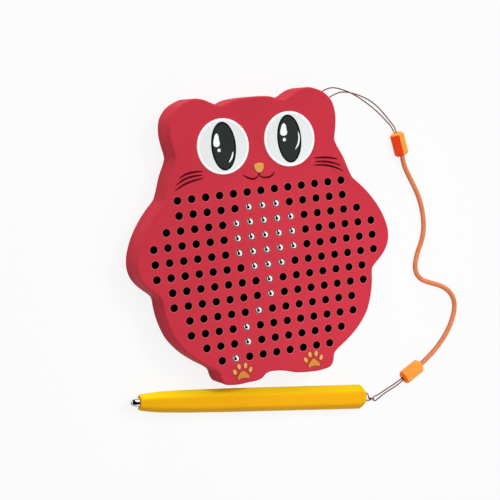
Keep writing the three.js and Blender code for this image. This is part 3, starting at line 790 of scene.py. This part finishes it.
def polished(name, colour, values, roughness, scratches=0.05):
    """Bare or plated metal with fine scratches and dulled patches."""
    metal = {"Metallic": 1.0, **values}
    wear = (500.0, roughness / 2)
    material, tree, where, toned = worn_surface(name, colour, metal, roughness, (300.0, 0.03), wear)
    stretched = add_node(tree, 'ShaderNodeMapping', {"Vector": where["Object"], "Scale": (1.0, 14.0, 5.0)})
    height = placed(tree, grain_group(), Vector=stretched[0], Scale=900.0)["Height"]
    return with_relief(material, toned, height, scratches, 0.0001)


def laid(name, colour, values, strands, turns, depth, groove=0.5, roughness=0.75, flank=None):
    """Cord or thread with its strands laid round it, with painted shade in the grooves and on the flanks, and
    fine fibres.
    """
    material, tree, where, toned = worn_surface(name, colour, values, roughness, (220.0, 0.1), (200.0, 0.1))
    uv = add_node(tree, 'ShaderNodeUVMap', {}, uv_map="lay")[0]
    lay = placed(tree, lay_group(), UV=uv, Strands=strands, Turns=turns)
    # Painted shade in the grooves between the strands
    dark = (*(part * (1 - groove) for part in colour[:3]), 1.0)
    shaded = blend_colours(tree, maths(tree, 'MULTIPLY', lay["Groove"], 0.8), toned, dark)
    # Painted shade on the flanks, darker as the surface turns from facing up
    if flank:
        sides = spread(tree, upward(tree, where["Normal"]), 0.3, 0.8, 1.0, 0.0)
        shaded = blend_colours(tree, sides, shaded, tone(flank))
    fibres = placed(tree, grain_group(), Vector=where["Object"], Scale=5000.0)["Height"]
    height = maths(tree, 'ADD', lay["Height"], maths(tree, 'MULTIPLY', fibres, 0.35))
    return with_relief(material, shaded, height, 0.6, depth)


# Materials: the function that makes each, the name of its colour, its specular level, then the
# function's own details from the roughness or the strands on
finishes = {
    # The shell's second tone is a painted highlight on its rounded rim
    "shell_red_plastic": (moulded, "shell", 0.01, 0.52, 0.12, 0.04, ("shell_edge", 0.5, (0, 0, 1), 0.55)),
    # Painted highlight round the holes' mouths
    "hole_rim_plastic": (moulded, "rim", 0.4, 0.45),
    # The tray's black, also used as painted shade on the holes' walls
    "tray_black_plastic": (moulded, "tray", 0.03, 0.8),
    "cover_red_plastic": (moulded, "cover", 0.25, 0.6, 0.25),
    # The pen's second tone is painted light on its side towards the board
    "pen_yellow_plastic": (moulded, "pen", 0.01, 0.36, 0.1, 0.03, ("pen_flank", 0.95, (0.1, 0.7, 0), 0.1)),
    # Lit and shaded copies of the connector plastic: the deep and bright finishes are painted shade
    "connector_golden_plastic": (moulded, "upper_bead", 0.2, 0.3, 0.03, 0.05),
    "connector_deep_plastic": (moulded, "upper_depth", 0.2, 0.3, 0.03, 0.05),
    "connector_pale_plastic": (moulded, "lower_bead", 0.2, 0.3, 0.03, 0.05),
    "connector_bright_plastic": (moulded, "lower_depth", 0.2, 0.3, 0.03, 0.05),
    "gold_paint": (moulded, "gold", 0.5, 0.42, 0.2, 0.07),
    "toe_gold_paint": (moulded, "toe_gold", 0.15, 0.5, 0.2, 0.09),
    "paw_gold_paint": (moulded, "pad_gold", 0.15, 0.5, 0.2, 0.09),
    # Painted shade on the sides of the nose and paw prints
    "gold_edge_paint": (moulded, "gold_edge", 0.15, 0.5, 0.2, 0.07),
    "eye_white_print": (moulded, "white", 0.06, 0.3, 0.05, 0.03),
    "eye_rim_white": (moulded, "eye_rim", 0.06, 0.25, 0.05, 0.03),
    "pupil_print": (moulded, "pupil", 0.06, 0.35, 0.05, 0.03),
    "pupil_outline_print": (moulded, "outline", 0.06, 0.35, 0.05, 0.03),
    "highlight_print": (moulded, "eye_rim", 0.06, 0.3, 0.05, 0.03),
    "dark_red_print": (moulded, "ink", 0.06, 0.5, 0.05, 0.03),
    "polished_ball_steel": (polished, "steel", 0.5, 0.06),
    # Painted shade: near black steel for the dropped balls
    "dropped_ball_steel": (polished, "dropped_steel", 0.5, 0.5),
    "zinc_plating": (polished, "zinc", 0.5, 0.32, 0.3),
    "nickel_plating": (polished, "nickel", 0.5, 0.28, 0.2),
    # Painted shade in the grooves of the cord and the thread, and on the cord's flanks
    "cord_sheath": (laid, "cord", 0.5, 16.0, 500.0, 0.00002, 0.15, 0.6, "cord_flank"),
    "twisted_thread": (laid, "thread", 0.5, 2.0, 900.0, 0.00008),
}


def finish(name):
    """The material of that name, made the first time that it is asked for."""
    if name not in bpy.data.materials:
        make, colour_name, specular, *details = finishes[name]
        make(name, tone(colour_name), {"Specular IOR Level": specular}, *details)
    return bpy.data.materials[name]


def paint(piece, names, choose):
    """Gives a piece the finishes of these names. A test of each face says which one it takes."""
    piece.data.materials.clear()
    for name in names:
        piece.data.materials.append(finish(name))
    for face in piece.data.polygons:
        face.material_index = int(choose(face))


# Places


def row_y(row):
    return ((len(row_reach) - 1) / 2 - row) * sizes().pitch


def field():
    """Row, column and place of every hole; the columns count from the middle one."""
    return [
        (row, column, (column * sizes().pitch, row_y(row)))
        for row, reach in enumerate(row_reach)
        for column in range(-reach, reach + 1)
    ]


def ball_node(row, column):
    return f"ball_row{row + 1}_col{column + middle_column}"


def middle(node):
    low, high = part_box(node)
    return (low + high) / 2


def screw_nodes():
    return sorted(name for name in frame["nodes"] if name.startswith("screw_"))


def outline():
    """The rim of the board: the CAD shell's corners where its edge starts to round, made smooth."""
    height = face_z - rim_drop
    corners = {
        (round(vertex.co.x, 6), round(vertex.co.y, 6))
        for vertex in frame["nodes"]["front_shell"].data.vertices
        if abs(vertex.co.z - height) < tiny
    }
    centre_y = 0.01
    around = sorted(corners.union(notch_corners), key=lambda point: atan2(point[1] - centre_y, point[0]))
    return smooth_curve([(x, y, 0) for x, y in around], 4, True)


def inset(points, distance):
    """The outline moved inwards along the mean of the normals beside each point."""
    moved_in = []
    for i, point in enumerate(points):
        before = (point - points[i - 1]).normalized()
        after = (points[(i + 1) % len(points)] - point).normalized()
        along = (before + after).normalized()
        reach = distance / along.dot(before)
        moved_in.append(Vector((point.x - along.y * reach, point.y + along.x * reach, 0)))
    return moved_in


# Pieces


def make_shell():
    size = sizes()
    rim = outline()
    under = face_z - size.plate
    shell = plate("moulded_shell", rim, 0, face_z)
    round_edges(shell, level(face_z), size.edge, 6)
    round_edges(shell, level(0), size.low_edge, 2)
    cut(shell, plate("hollow", inset(rim, size.wall), -size.wall, under))
    for node in screw_nodes():
        place, screw_end = middle(node).xy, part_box(node)[1].z
        boss = rod("boss", size.boss / 2, size.cover + size.clearance, face_z - size.plate / 2, 24, place)
        combine(shell, boss, 'UNION')
        cut(shell, rod("pilot", (size.screw + size.clearance) / 2, 0, screw_end + size.clearance, 16, place))
    cell, mouth_radius = size.cell / 2, size.throat / 2 + size.hole_round
    mouth = arc((mouth_radius, face_z - size.hole_round), size.hole_round, 180, 90, 2)
    low, high = under - size.wall / 2, face_z + size.wall
    profile = [(0, low), (cell, low), (cell, under), *mouth, (mouth_radius, high), (0, high)]
    holes = copies(lathe("hole", profile, 24), "holes", [place for _, _, place in field()])
    cut(shell, holes, *ear_hole_tools())
    paint_holes(shell)
    smooth(shell, 50, weighted=True)
    dress(shell, None, "board", ["front_shell"])


def ear_hole_tools():
    """Pins across the ear's wall, where the thread goes through it."""
    size = sizes()
    along = Vector((cos(ear_hole_turn), sin(ear_hole_turn), 0))
    across = Vector((-along.y, along.x, 0))
    turn = Vector((0, 0, 1)).rotation_difference(across).to_matrix().to_4x4()
    reach = 0.0035
    tools = []
    for side in (-1, 1):
        pin = rod("pin", size.ear_hole / 2, -reach, reach, 16)
        place = ear_hole_middle + along * side * size.ear_spacing / 2
        pin.data.transform(Matrix.Translation(place) @ turn)
        tools.append(pin)
    return tools


def paint_holes(shell):
    """The shell's plastic outside, a painted highlight ring round each hole's mouth and black painted shade
    on the walls below it.
    """
    size = sizes()
    reach = max(size.throat / 2 + size.hole_round + tiny * 2, size.cell / 2 + tiny)
    ring, under = face_z - size.hole_round - tiny, face_z - size.plate - tiny

    def part(polygon):
        x, y, z = polygon.center
        column = round(x / size.pitch)
        row = round((len(row_reach) - 1) / 2 - y / size.pitch)
        if not 0 <= row < len(row_reach) or abs(column) > row_reach[row] or abs(polygon.normal.z) > 0.99:
            return 0
        if z <= under or hypot(x - column * size.pitch, y - row_y(row)) >= reach:
            return 0
        # 1 is the painted highlight on the mouth, 2 the painted shade on the wall
        return 1 if z > ring else 2
    paint(shell, ("shell_red_plastic", "hole_rim_plastic", "tray_black_plastic"), part)


def stair_outline(margin):
    """The tray's outline: it follows the rows of holes at a margin."""
    pitch = sizes().pitch
    right = [(row_reach[0] * pitch + margin, row_y(0) + margin)]
    for row in range(1, len(row_reach)):
        upper, lower = (row_reach[number] * pitch + margin for number in (row - 1, row))
        if upper != lower:
            y = row_y(row) + margin if lower > upper else row_y(row - 1) - margin
            right += [(upper, y), (lower, y)]
    last = len(row_reach) - 1
    right.append((row_reach[last] * pitch + margin, row_y(last) - margin))
    left = [(-x, y) for x, y in right]
    return left + right[::-1]


def make_tray():
    size = sizes()
    floor, inner = tray_low + size.tray_floor, size.tray_margin - size.tray_wall
    tray = plate("ball_bed", stair_outline(size.tray_margin), tray_low, tray_high)
    cut(tray, plate("bed", stair_outline(inner), floor, tray_high + size.tray_wall))
    for node in screw_nodes():
        cut(tray, rod("notch", size.boss / 2 + size.clearance, 0, face_z, 24, middle(node).xy))
    round_edges(tray, level(tray_high), 0.0002, 2)
    smooth(tray)
    dress(tray, finish("tray_black_plastic"), "board", ["ball_tray"])
    radius = size.ball / 2
    dropped = [place for row, column, place in field() if ball_node(row, column) not in frame["nodes"]]
    ball = lathe("ball", arc((0, floor + radius), radius, -90, 90, 6), 10)
    balls = copies(ball, "dropped_balls", dropped)
    smooth(balls, 80)
    # Painted shade: the dropped balls take a near black steel
    dress(balls, finish("dropped_ball_steel"), "board", ["ball_tray"])


def make_raised_balls():
    raised_z = middle("ball_row7_col9").z
    model = lathe("ball", arc((0, raised_z), sizes().ball / 2, -90, 90, 16), 32)
    smooth(model, 80)
    model.data.materials.append(finish("polished_ball_steel"))
    for row, column, place in field():
        node = ball_node(row, column)
        if node in frame["nodes"]:
            ball = twin(model, place)
            ball.name = ball.data.name = f"steel_{node}"
            dress(ball, None, node, [node])
    bpy.data.objects.remove(model)


def make_cover():
    size = sizes()
    bevel = 0.0003
    cover = plate("back_plate", inset(outline(), size.wall + size.clearance), 0, size.cover)
    round_edges(cover, level(0), bevel, 2)
    for side in (-1, 0, 1):
        x, top = side * size.rib_spacing, tray_low - size.clearance
        combine(cover, bar("rib", size.rib_width, size.rib_length, size.cover / 2, top, x), 'UNION')
    for node in screw_nodes():
        head, shank = size.screw_head / 2 + size.clearance, (size.screw + size.clearance) / 2
        depth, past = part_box(node)[0].z + size.head_height + size.clearance, size.cover * 2
        well = [(0, -size.wall), (head + bevel, -size.wall), (head + bevel, 0), (head, bevel),
                (head, depth), (shank, depth), (shank, past), (0, past)]
        cut(cover, lathe("well", well, 32, middle(node).xy))
    smooth(cover, 40, weighted=True)
    dress(cover, finish("cover_red_plastic"), "board", ["rear_cover"])


def make_screws():
    """Pan head screws with a cross recess, seen from behind."""
    size = sizes()
    head, shank, turn = size.screw_head / 2, size.screw / 2, size.thread_pitch
    root = shank * 0.78
    bevel, bevel_height = 0.0004, 0.0005
    recess, recess_width, recess_depth = 0.0026, 0.0006, 0.0008
    for node in screw_nodes():
        low, high = (corner.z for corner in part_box(node))
        head_top = low + size.head_height
        threads, height = [], head_top
        while height + turn < high - shank:
            threads += [(root, height), (shank, height + turn / 2)]
            height += turn
        profile = [(0, low), (head - bevel, low), (head, low + bevel_height), (head, head_top), *threads,
                   (root, high - shank), (0, high)]
        screw = lathe(f"pan_head_{node}", profile, 24)
        for wide, deep in ((recess, recess_width), (recess_width, recess)):
            cut(screw, bar("slot", wide, deep, low - 0.001, low + recess_depth))
        moved(screw, *middle(node).xy)
        smooth(screw, 35)
        dress(screw, finish("zinc_plating"), "board", [node])


def make_eyes():
    """White discs with a rounded rim, printed pupils and the highlights on them."""
    size = face_sizes()
    rounding = 0.00035
    for name, side, gleam_box, dot, crescent in eye_prints:
        node = f"eye_{name}"
        low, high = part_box(node)
        radius = (high.x - low.x) / 2
        inner = radius - size.eye_rim
        rim = arc((radius - rounding, high.z - rounding), rounding, 0, 90, 5)
        profile = [(0, low.z), (radius, low.z), *rim, (inner, high.z), (0, high.z)]
        disc = lathe(f"eye_disc_{name}", profile, 96)
        paint(disc, ("eye_white_print", "eye_rim_white"), lambda face: face.center.xy.length > inner)
        moved(disc, *middle(node).xy)
        smooth(disc, 40, weighted=True)
        dress(disc, None, "board", [node])

        ink_low = high.z + size.print_height
        ink_high = ink_low + size.print_height
        shape = oval(side * size.pupil_x, size.pupil_y, size.pupil_width / 2, size.pupil_tall / 2, 96)
        pupil = plate(f"pupil_{name}", shape, high.z, ink_low)
        with editing(pupil):
            pick(pupil, 'faces', level(ink_low))
            bpy.ops.mesh.inset(thickness=size.pupil_line)
        paint(pupil, ("pupil_print", "pupil_outline_print"), lambda face: len(face.vertices) < 5)
        smooth(pupil, 30)
        dress(pupil, None, "board")

        drop = smooth_curve(scaled(gleam_shares, *gleam_box), 4, True)
        spot = oval(*dot, size.dot / 2, size.dot / 2, 24)
        gleams = [plate("drop", drop, ink_low, ink_high), plate("spot", spot, ink_low, ink_high),
                  stroke("crescent", crescent, size.crescent, ink_low)]
        highlights = joined(f"highlights_{name}", gleams)
        smooth(highlights, 30)
        dress(highlights, finish("highlight_print"), "board")


def stroke(name, points, width, height):
    """A printed line that is thin at both ends and lies at one height."""
    path = smooth_curve([(x, y, 0) for x, y in points], 8, False)
    line = tube(name, path, lambda share: width / 2 * (0.25 + 0.75 * sin(pi * share) ** 0.6), 12)
    line.data.transform(Matrix.Diagonal((1, 1, 2 * face_sizes().print_height / width, 1)))
    return moved(line, z=height)


def make_face_print():
    """Nose, mouth and whiskers."""
    size = face_sizes()
    low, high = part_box("nose")
    curve = scaled(nose_shares, *middle("nose").xy, *(high - low).xy)
    nose = plate("gold_nose", smooth_curve(curve, 5, True), low.z, high.z)
    round_edges(nose, level(high.z), 0.00045, 4)
    # Painted shade on the nose's rounded sides
    paint(nose, ("gold_paint", "gold_edge_paint"), lambda face: face.normal.z < 0.8)
    smooth(nose, 35, weighted=True)
    dress(nose, None, "board", ["nose"])
    for name, lines, width in (
        ("mouth_print", mouth_lines, size.mouth_line), ("whiskers_print", whisker_lines, size.whisker_line),
    ):
        strokes = [stroke("line", line, width, face_z) for line in lines]
        dress(joined(name, strokes), finish("dark_red_print"), "board")


def make_paws():
    size = face_sizes()
    low, high = face_z - sizes().plate / 4, face_z + size.pad_relief
    across, up = size.pad_width, size.pad_height
    y = row_y(len(row_reach) - 1) - size.pad_drop
    for name, x in (("left", -size.pad_x), ("right", size.pad_x)):
        shapes = [smooth_curve(scaled(pad_shares, x, y, across, up), 5, True)]
        for u, v, lean in toe_places:
            shapes.append(oval(x + u * across, y + v * up, size.toe_width / 2, size.toe_height / 2, 28, lean))
        parts = []
        for number, shape in enumerate(shapes):
            part = plate("pad", shape, low, high)
            round_edges(part, level(high), 0.0005, 4)
            top = "toe_gold_paint" if number else "paw_gold_paint"
            # Painted shade on the rounded sides of each pad and toe
            paint(part, (top, "gold_edge_paint"), lambda face: face.normal.z < 0.9)
            parts.append(part)
        paw = joined(f"paw_print_{name}", parts)
        smooth(paw, 35, weighted=True)
        dress(paw, None, "board", ["front_shell"])


def lying(along):
    """A turn that lays an upright piece along a level direction, with its X side down."""
    return Matrix((Vector((0, 0, -1)), Vector((-along.y, along.x, 0)), along)).transposed().to_4x4()


def pen_line():
    """The nose of the pen and the direction from there to its end plug."""
    lift_axis = next(joint for joint in frame["joints"] if joint["name"] == "pen_lift")["axis"]
    along = Vector((lift_axis[1], -lift_axis[0], 0)).normalized()
    if along.x < 0:
        along = -along
    centre = middle("pen_magnet")
    start = min((vertex.co - centre).dot(along) for vertex in frame["nodes"]["pen_barrel"].data.vertices)
    return centre + along * start, along


def pen_reach(node):
    """Where a piece of the pen starts and ends along its axis, from the nose."""
    nose, along = pen_line()
    places = [(vertex.co - nose).dot(along) for vertex in frame["nodes"][node].data.vertices]
    return min(places), max(places)


def between(shares, place):
    """Width and roundness at a place, from the nearest rows of the list."""
    for (low, *first), (high, *second) in zip(shares, shares[1:]):
        if place <= high:
            part = (place - low) / (high - low)
            return [a + (b - a) * part for a, b in zip(first, second)]
    return shares[-1][1:]


def hexagon_body(name, low, high, shares, cuts):
    """A six-sided bar with rounded corners, narrowed and rounded along its length.

    The cuts across it lie closer together at its low end."""
    size = pen_sizes()
    radius = size.width / 2
    bpy.ops.object.select_all(action='DESELECT')
    bpy.ops.mesh.primitive_cylinder_add(vertices=6, radius=radius, depth=high - low, location=(0, 0, 0))
    piece = moved(named(name), z=(low + high) / 2)
    with editing(piece):
        pick(piece, 'edges', upright)
        bpy.ops.mesh.bevel(offset=size.corner * tan(pi / 6), segments=6, affect='EDGES', clamp_overlap=False)
        for i in range(1, cuts):
            bpy.ops.mesh.select_all(action='SELECT')
            height = low + (high - low) * (i / cuts) ** 1.4
            bpy.ops.mesh.bisect(plane_co=(0, 0, height), plane_no=(0, 0, 1))
    for vertex in piece.data.vertices:
        width, roundness = between(shares, (vertex.co.z - low) / (high - low))
        flat = vertex.co.xy * width
        circle = flat.normalized() * radius * 0.93 * width
        vertex.co.x, vertex.co.y = flat.lerp(circle, roundness)
    return piece


def make_pen():
    size, clear = pen_sizes(), sizes().clearance
    barrel_end, plug_end = pen_reach("pen_barrel")[1], pen_reach("pen_end_plug")[1]
    tip_start, tip_end = pen_reach("pen_tip")
    magnet_start, magnet_end = pen_reach("pen_magnet")
    bore, pocket, past, seam = size.bore / 2, size.tip / 2 + clear, 0.001, 0.0001
    seat, mouth = size.magnet_seat / 2, magnet_end + past

    barrel = hexagon_body("barrel_body", 0, barrel_end, barrel_shares, 22)
    round_edges(barrel, level(0), 0.0005, 3)
    round_edges(barrel, level(barrel_end), seam, 2)
    inside = [(0, -past), (pocket, -past), (pocket, magnet_start), (seat, magnet_start), (seat, mouth),
              (bore, mouth + past), (bore, barrel_end + past), (0, barrel_end + past)]
    cut(barrel, lathe("bore", inside, 32))
    smooth(barrel, 35, weighted=True)

    start = barrel_end + seam / 2
    plug = hexagon_body("end_plug_body", start, plug_end, plug_shares, 6)
    round_edges(plug, level(plug_end), 0.0004, 3)
    combine(plug, rod("spigot", bore - clear, start - size.spigot, start + past / 2, 32), 'UNION')
    hole, bottom = size.thread_hole / 2, plug_end - size.thread_depth
    for side in (-1, 1):
        pin = flared("pin", hole, bottom, plug_end, 0.0003, 0.0002, 20)
        cut(plug, moved(pin, y=side * size.thread_spacing / 2))
    cut(plug, bar("channel", hole * 2, size.thread_spacing + hole * 2, bottom - past, bottom + past * 1.1))
    smooth(plug, 35, weighted=True)

    radius = size.tip / 2
    dome = [(radius * cos(radians(angle)), tip_start + size.dome * (1 - sin(radians(angle))))
            for angle in range(90, -1, -9)]
    tip = lathe("chrome_tip", [*dome, (radius, tip_end), (0, tip_end)], 48)
    smooth(tip, 40)

    nose, along = pen_line()
    for piece, material, slot, node in (
        (barrel, "pen_yellow_plastic", "pen_yellow", "pen_barrel"),
        (plug, "pen_yellow_plastic", "pen_yellow", "pen_end_plug"),
        (tip, "polished_ball_steel", "ball_steel", "pen_tip"),
    ):
        piece.data.transform(Matrix.Translation(nose) @ lying(along))
        dress(piece, finish(material), "pen", [node])
    magnet = frame["nodes"]["pen_magnet"]
    magnet.data.materials.clear()
    magnet.data.materials.append(finish("nickel_plating"))


def straight_ends(path, reach):
    """The path with both its ends carried on straight, into what holds them."""
    first, last = path[0], path[-1]
    start = first + (first - path[1]).normalized() * reach
    end = last + (last - path[-2]).normalized() * reach
    return [start, *path, end]


def make_lanyard():
    size = lanyard_sizes()
    thread = size.thread / 2
    cord_path, ear_path, pen_path = (
        straight_ends(smooth_curve(route, 6, False), size.end_reach)
        for route in (cord_route, ear_route, pen_thread_route)
    )
    knot_place = middle("thread_knot")
    loop_path = smooth_curve([knot_place, *loop_route, knot_place], 6, False)
    cord = tube("orange_cord", cord_path, size.cord / 2, 20)
    dress(cord, finish("cord_sheath"), "board", ["lanyard_cord"])
    ear, pen, _ = (
        dress(tube(name, path, thread, 12), finish("twisted_thread"), body, [node])
        for name, path, body, node in (
            ("ear_thread_loop", ear_path, "board", "ear_thread"),
            ("pen_thread_pair", pen_path, "board", "pen_thread"),
            ("pen_thread_loop", loop_path, "pen", "pen_loop"),
        )
    )
    beads = [
        make_connector("connector_upper", *cord_route[:2], ridged_shares, ("golden", "deep")),
        make_connector("connector_lower", *cord_route[:-3:-1], flat_shares, ("pale", "bright")),
    ]
    knot = make_knot()
    make_hitch()


def make_knot():
    """A trefoil of thread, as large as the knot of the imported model."""
    low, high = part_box("thread_knot")
    centre = middle("thread_knot")
    thread = lanyard_sizes().thread / 2
    reach = ((high.z - low.z) / 2 - thread) / 3
    depth = 2.2
    path = []
    for turn in (tau * i / 72 for i in range(72)):
        x, y = sin(turn) + 2 * sin(2 * turn), cos(turn) - 2 * cos(2 * turn)
        path.append(centre + Vector((x, y, -sin(3 * turn) * depth)) * reach)
    knot = tube("thread_knot_turns", path, thread * 0.95, 12, closed=True)
    return dress(knot, finish("twisted_thread"), "knot", ["thread_knot"])


def make_hitch():
    """A short eye of thread from the knot round the bight of the thread pair."""
    thread = lanyard_sizes().thread
    knot = middle("thread_knot")
    bight = pen_thread_route[len(pen_thread_route) // 2]
    level_way = Vector((bight.x - knot.x, bight.y - knot.y, 0))
    half = level_way.length / 2 + thread * 0.55
    along = level_way.normalized() * half
    rise = Vector((0, 0, thread * 0.9))
    turns = [tau * i / 36 for i in range(36)]
    path = [knot + along + along * cos(turn) + rise * sin(turn) for turn in turns]
    hitch = tube("thread_hitch", path, thread * 0.42, 12, closed=True)
    dress(hitch, finish("twisted_thread"), "board", ["pen_thread"])


def make_connector(node, end, after, shares, tones):
    """A faceted bead with a socket for the cord at either end and a deeper tone painted as shade on its side
    turned from the lights.
    """
    size = lanyard_sizes()
    half = size.bead_length / 2
    section = [(-up * size.bead_height, side * size.bead_width) for side, up in shares]
    bead = plate(f"faceted_{node}", section, -half, half)
    round_edges(bead, lambda edge: level(half)(edge) or level(-half)(edge), size.bead_bevel, 1)
    round_edges(bead, lambda edge: edge.calc_face_angle(0) > radians(12), 0.00022, 3)
    for turn in (pi, 0):
        socket = flared("socket", size.cord / 2 + 0.00015, half - size.socket, half, 0.0001, 0.0001, 24)
        socket.data.transform(Matrix.Rotation(turn, 4, 'X'))
        cut(bead, socket)
    smooth(bead, 35, weighted=True)
    along = Vector((end.x - after.x, end.y - after.y, 0)).normalized()
    bead.data.transform(Matrix.Translation(middle(node)) @ lying(along))
    # Painted shade: faces turned this way take the deeper tone
    shaded = Vector((-0.75, -0.66, 0))
    paint(bead, [f"connector_{tone}_plastic" for tone in tones], lambda face: face.normal.dot(shaded) > 0.36)
    return dress(bead, None, "board", [node])


# Studio


def add_softbox(name, place, target, width, height, power):
    turn = (Vector(target) - Vector(place)).to_track_quat('-Z', 'Y').to_euler()
    bpy.ops.object.light_add(type='AREA', location=place, rotation=turn)
    light = bpy.context.object
    light.name = name
    light.data.shape = 'RECTANGLE'
    light.data.size, light.data.size_y = width, height
    light.data.energy = power
    light.visible_camera = False
    light.visible_glossy = False


def make_camera():
    studio = bpy.context.scene.studio_settings
    bpy.ops.object.camera_add(location=studio.camera_place, rotation=studio.camera_turn)
    camera = bpy.context.object
    camera.name = "product_camera"
    camera.data.lens = studio.focal
    camera.data.sensor_width = 36
    camera.data.clip_start = 0.01
    bpy.context.scene.camera = camera


def make_floor():
    """A pale floor that looks white and keeps a soft shadow."""
    bpy.ops.object.select_all(action='DESELECT')
    bpy.ops.mesh.primitive_plane_add(size=8, location=(0, 0, 0))
    floor = moved(named("studio_floor"), z=-0.0002)
    material, tree = blank("white_paper", {"Base Color": (0.9, 0.9, 0.9, 1.0), "Roughness": 0.9})
    matt = tree.nodes["Principled BSDF"].outputs[0]
    glow = add_node(tree, 'ShaderNodeEmission', {"Color": (1, 1, 1, 1), "Strength": 1.0})[0]
    share = maths(tree, 'MULTIPLY', seen_directly(tree), 0.86)
    mixed = add_node(tree, 'ShaderNodeMixShader', {0: share, 1: matt, 2: glow})
    feed(tree, tree.nodes["Material Output"].inputs, {"Surface": mixed[0]})
    floor.data.materials.append(material)


def seen_directly(tree):
    """One for what the camera, a reflection or glass sees, and nothing for scattered light."""
    path = add_node(tree, 'ShaderNodeLightPath', {})
    either = maths(tree, 'MAXIMUM', path["Is Camera Ray"], path["Is Glossy Ray"])
    return maths(tree, 'MAXIMUM', either, path["Is Transmission Ray"])


def make_world():
    """White all round and dim as a light. Metal also reflects a dark disc above and a dark horizon."""
    studio = bpy.context.scene.studio_settings
    world = bpy.data.worlds.new("studio_world")
    bpy.context.scene.world = world
    world.use_nodes = True
    tree = world.node_tree
    direction = add_node(tree, 'ShaderNodeTexCoord', {})["Generated"]
    above = Vector((-0.22, -0.13, 0.97)).normalized()
    beside = above.cross(Vector((-0.22, 0.96, 0))).normalized()
    beyond = beside.cross(above)
    front = (-0.75, -0.66, 0)
    disc = spread(tree, dot_product(tree, direction, above), cos(radians(44)), cos(radians(38)))
    sideways = maths(tree, 'ABSOLUTE', dot_product(tree, direction, beside))
    near_stem = spread(tree, sideways, 0.3, 0.38, 1.0, 0.0)
    stem = maths(tree, 'MULTIPLY', near_stem, spread(tree, dot_product(tree, direction, beyond), 0.1, 0.2))
    low = spread(tree, upward(tree, direction), 0.3, 0.5, 0.95, 0.0)
    horizon = maths(tree, 'MULTIPLY', low, spread(tree, dot_product(tree, direction, front), 0.1, 0.4))
    dark = maths(tree, 'MAXIMUM', maths(tree, 'MAXIMUM', disc, stem), horizon)
    reflected = add_node(tree, 'ShaderNodeLightPath', {})["Is Glossy Ray"]
    seen = maths(tree, 'SUBTRACT', 1.0, maths(tree, 'MULTIPLY', reflected, dark))
    strength = spread(tree, seen_directly(tree), 0.0, 1.0, studio.ambient, seen)
    feed(tree, tree.nodes["Background"].inputs, {"Strength": strength, "Color": (1, 1, 1, 1)})


def make_lights():
    studio = bpy.context.scene.studio_settings
    add_softbox("top_softbox", (0.1, 0.55, 1.5), (0, 0, 0), 1, 1, studio.top)
    add_softbox("key_softbox", (0.72, 0.64, 1.28), (0, 0, 0), 0.3, 0.3, studio.key)
    add_softbox("near_softbox", (0.035, -0.02, 0.15), (0.035, -0.02, 0), 0.12, 0.12, studio.near)
    add_softbox("rim_softbox", (-0.15, 0.8, 0.1), (0, 0, 0), 0.6, 0.15, studio.rim)
    bpy.context.scene.view_settings.view_transform = 'Standard'


# Operators


class MakeStudio(bpy.types.Operator):
    """Add the camera, the floor, the world and the lights"""
    bl_idname = "drawing_board.studio"
    bl_label = "Studio"

    def execute(self, context):
        make_camera()
        make_floor()
        make_world()
        make_lights()
        return {'FINISHED'}


class MakeLanyard(bpy.types.Operator):
    """Add the cord, its threads, knot and connectors"""
    bl_idname = "drawing_board.lanyard"
    bl_label = "Lanyard"

    def execute(self, context):
        make_lanyard()
        return {'FINISHED'}


class MakeShell(bpy.types.Operator):
    """Add the moulded shell with its holes"""
    bl_idname = "drawing_board.shell"
    bl_label = "Shell"

    def execute(self, context):
        make_shell()
        return {'FINISHED'}


class MakeBalls(bpy.types.Operator):
    """Add the ball tray, the dropped balls and the raised ones"""
    bl_idname = "drawing_board.balls"
    bl_label = "Balls and tray"

    def execute(self, context):
        make_tray()
        make_raised_balls()
        return {'FINISHED'}


class MakeBack(bpy.types.Operator):
    """Add the rear cover and its screws"""
    bl_idname = "drawing_board.back"
    bl_label = "Back"

    def execute(self, context):
        make_cover()
        make_screws()
        return {'FINISHED'}


class MakeFace(bpy.types.Operator):
    """Add the eyes, nose, mouth, whiskers and paw prints"""
    bl_idname = "drawing_board.face"
    bl_label = "Face"

    def execute(self, context):
        make_eyes()
        make_face_print()
        make_paws()
        return {'FINISHED'}


class MakePen(bpy.types.Operator):
    """Add the pen with its tip and end plug"""
    bl_idname = "drawing_board.pen"
    bl_label = "Pen"

    def execute(self, context):
        make_pen()
        return {'FINISHED'}


class BoardPanel(bpy.types.Panel):
    """Buttons and values of the drawing board"""
    bl_idname = "VIEW3D_PT_drawing_board"
    bl_label = "Magnetic Drawing Board"
    bl_space_type = 'VIEW_3D'
    bl_region_type = 'UI'
    bl_category = "Drawing Board"

    def draw(self, context):
        for operator in operators:
            self.layout.operator(operator.bl_idname)
        for name, settings in groups.items():
            box = self.layout.box()
            for value in settings.__annotations__:
                box.prop(getattr(context.scene, name), value)


operators = (MakeStudio, MakeLanyard, MakeShell, MakeBalls, MakeBack, MakeFace, MakePen)
groups = {
    "board_sizes": BoardSizes, "face_sizes": FaceSizes, "pen_sizes": PenSizes,
    "lanyard_sizes": LanyardSizes, "board_colours": BoardColours, "studio_settings": StudioSettings,
}


def register():
    for made in (*groups.values(), *operators, BoardPanel):
        bpy.utils.register_class(made)
    for name, made in groups.items():
        setattr(bpy.types.Scene, name, PointerProperty(type=made))


def unregister():
    for name in groups:
        delattr(bpy.types.Scene, name)
    for made in reversed((*groups.values(), *operators, BoardPanel)):
        bpy.utils.unregister_class(made)


def main():
    register()
    for operator in operators:
        category, name = operator.bl_idname.split(".")
        getattr(getattr(bpy.ops, category), name)()


if __name__ == "__main__":
    main()
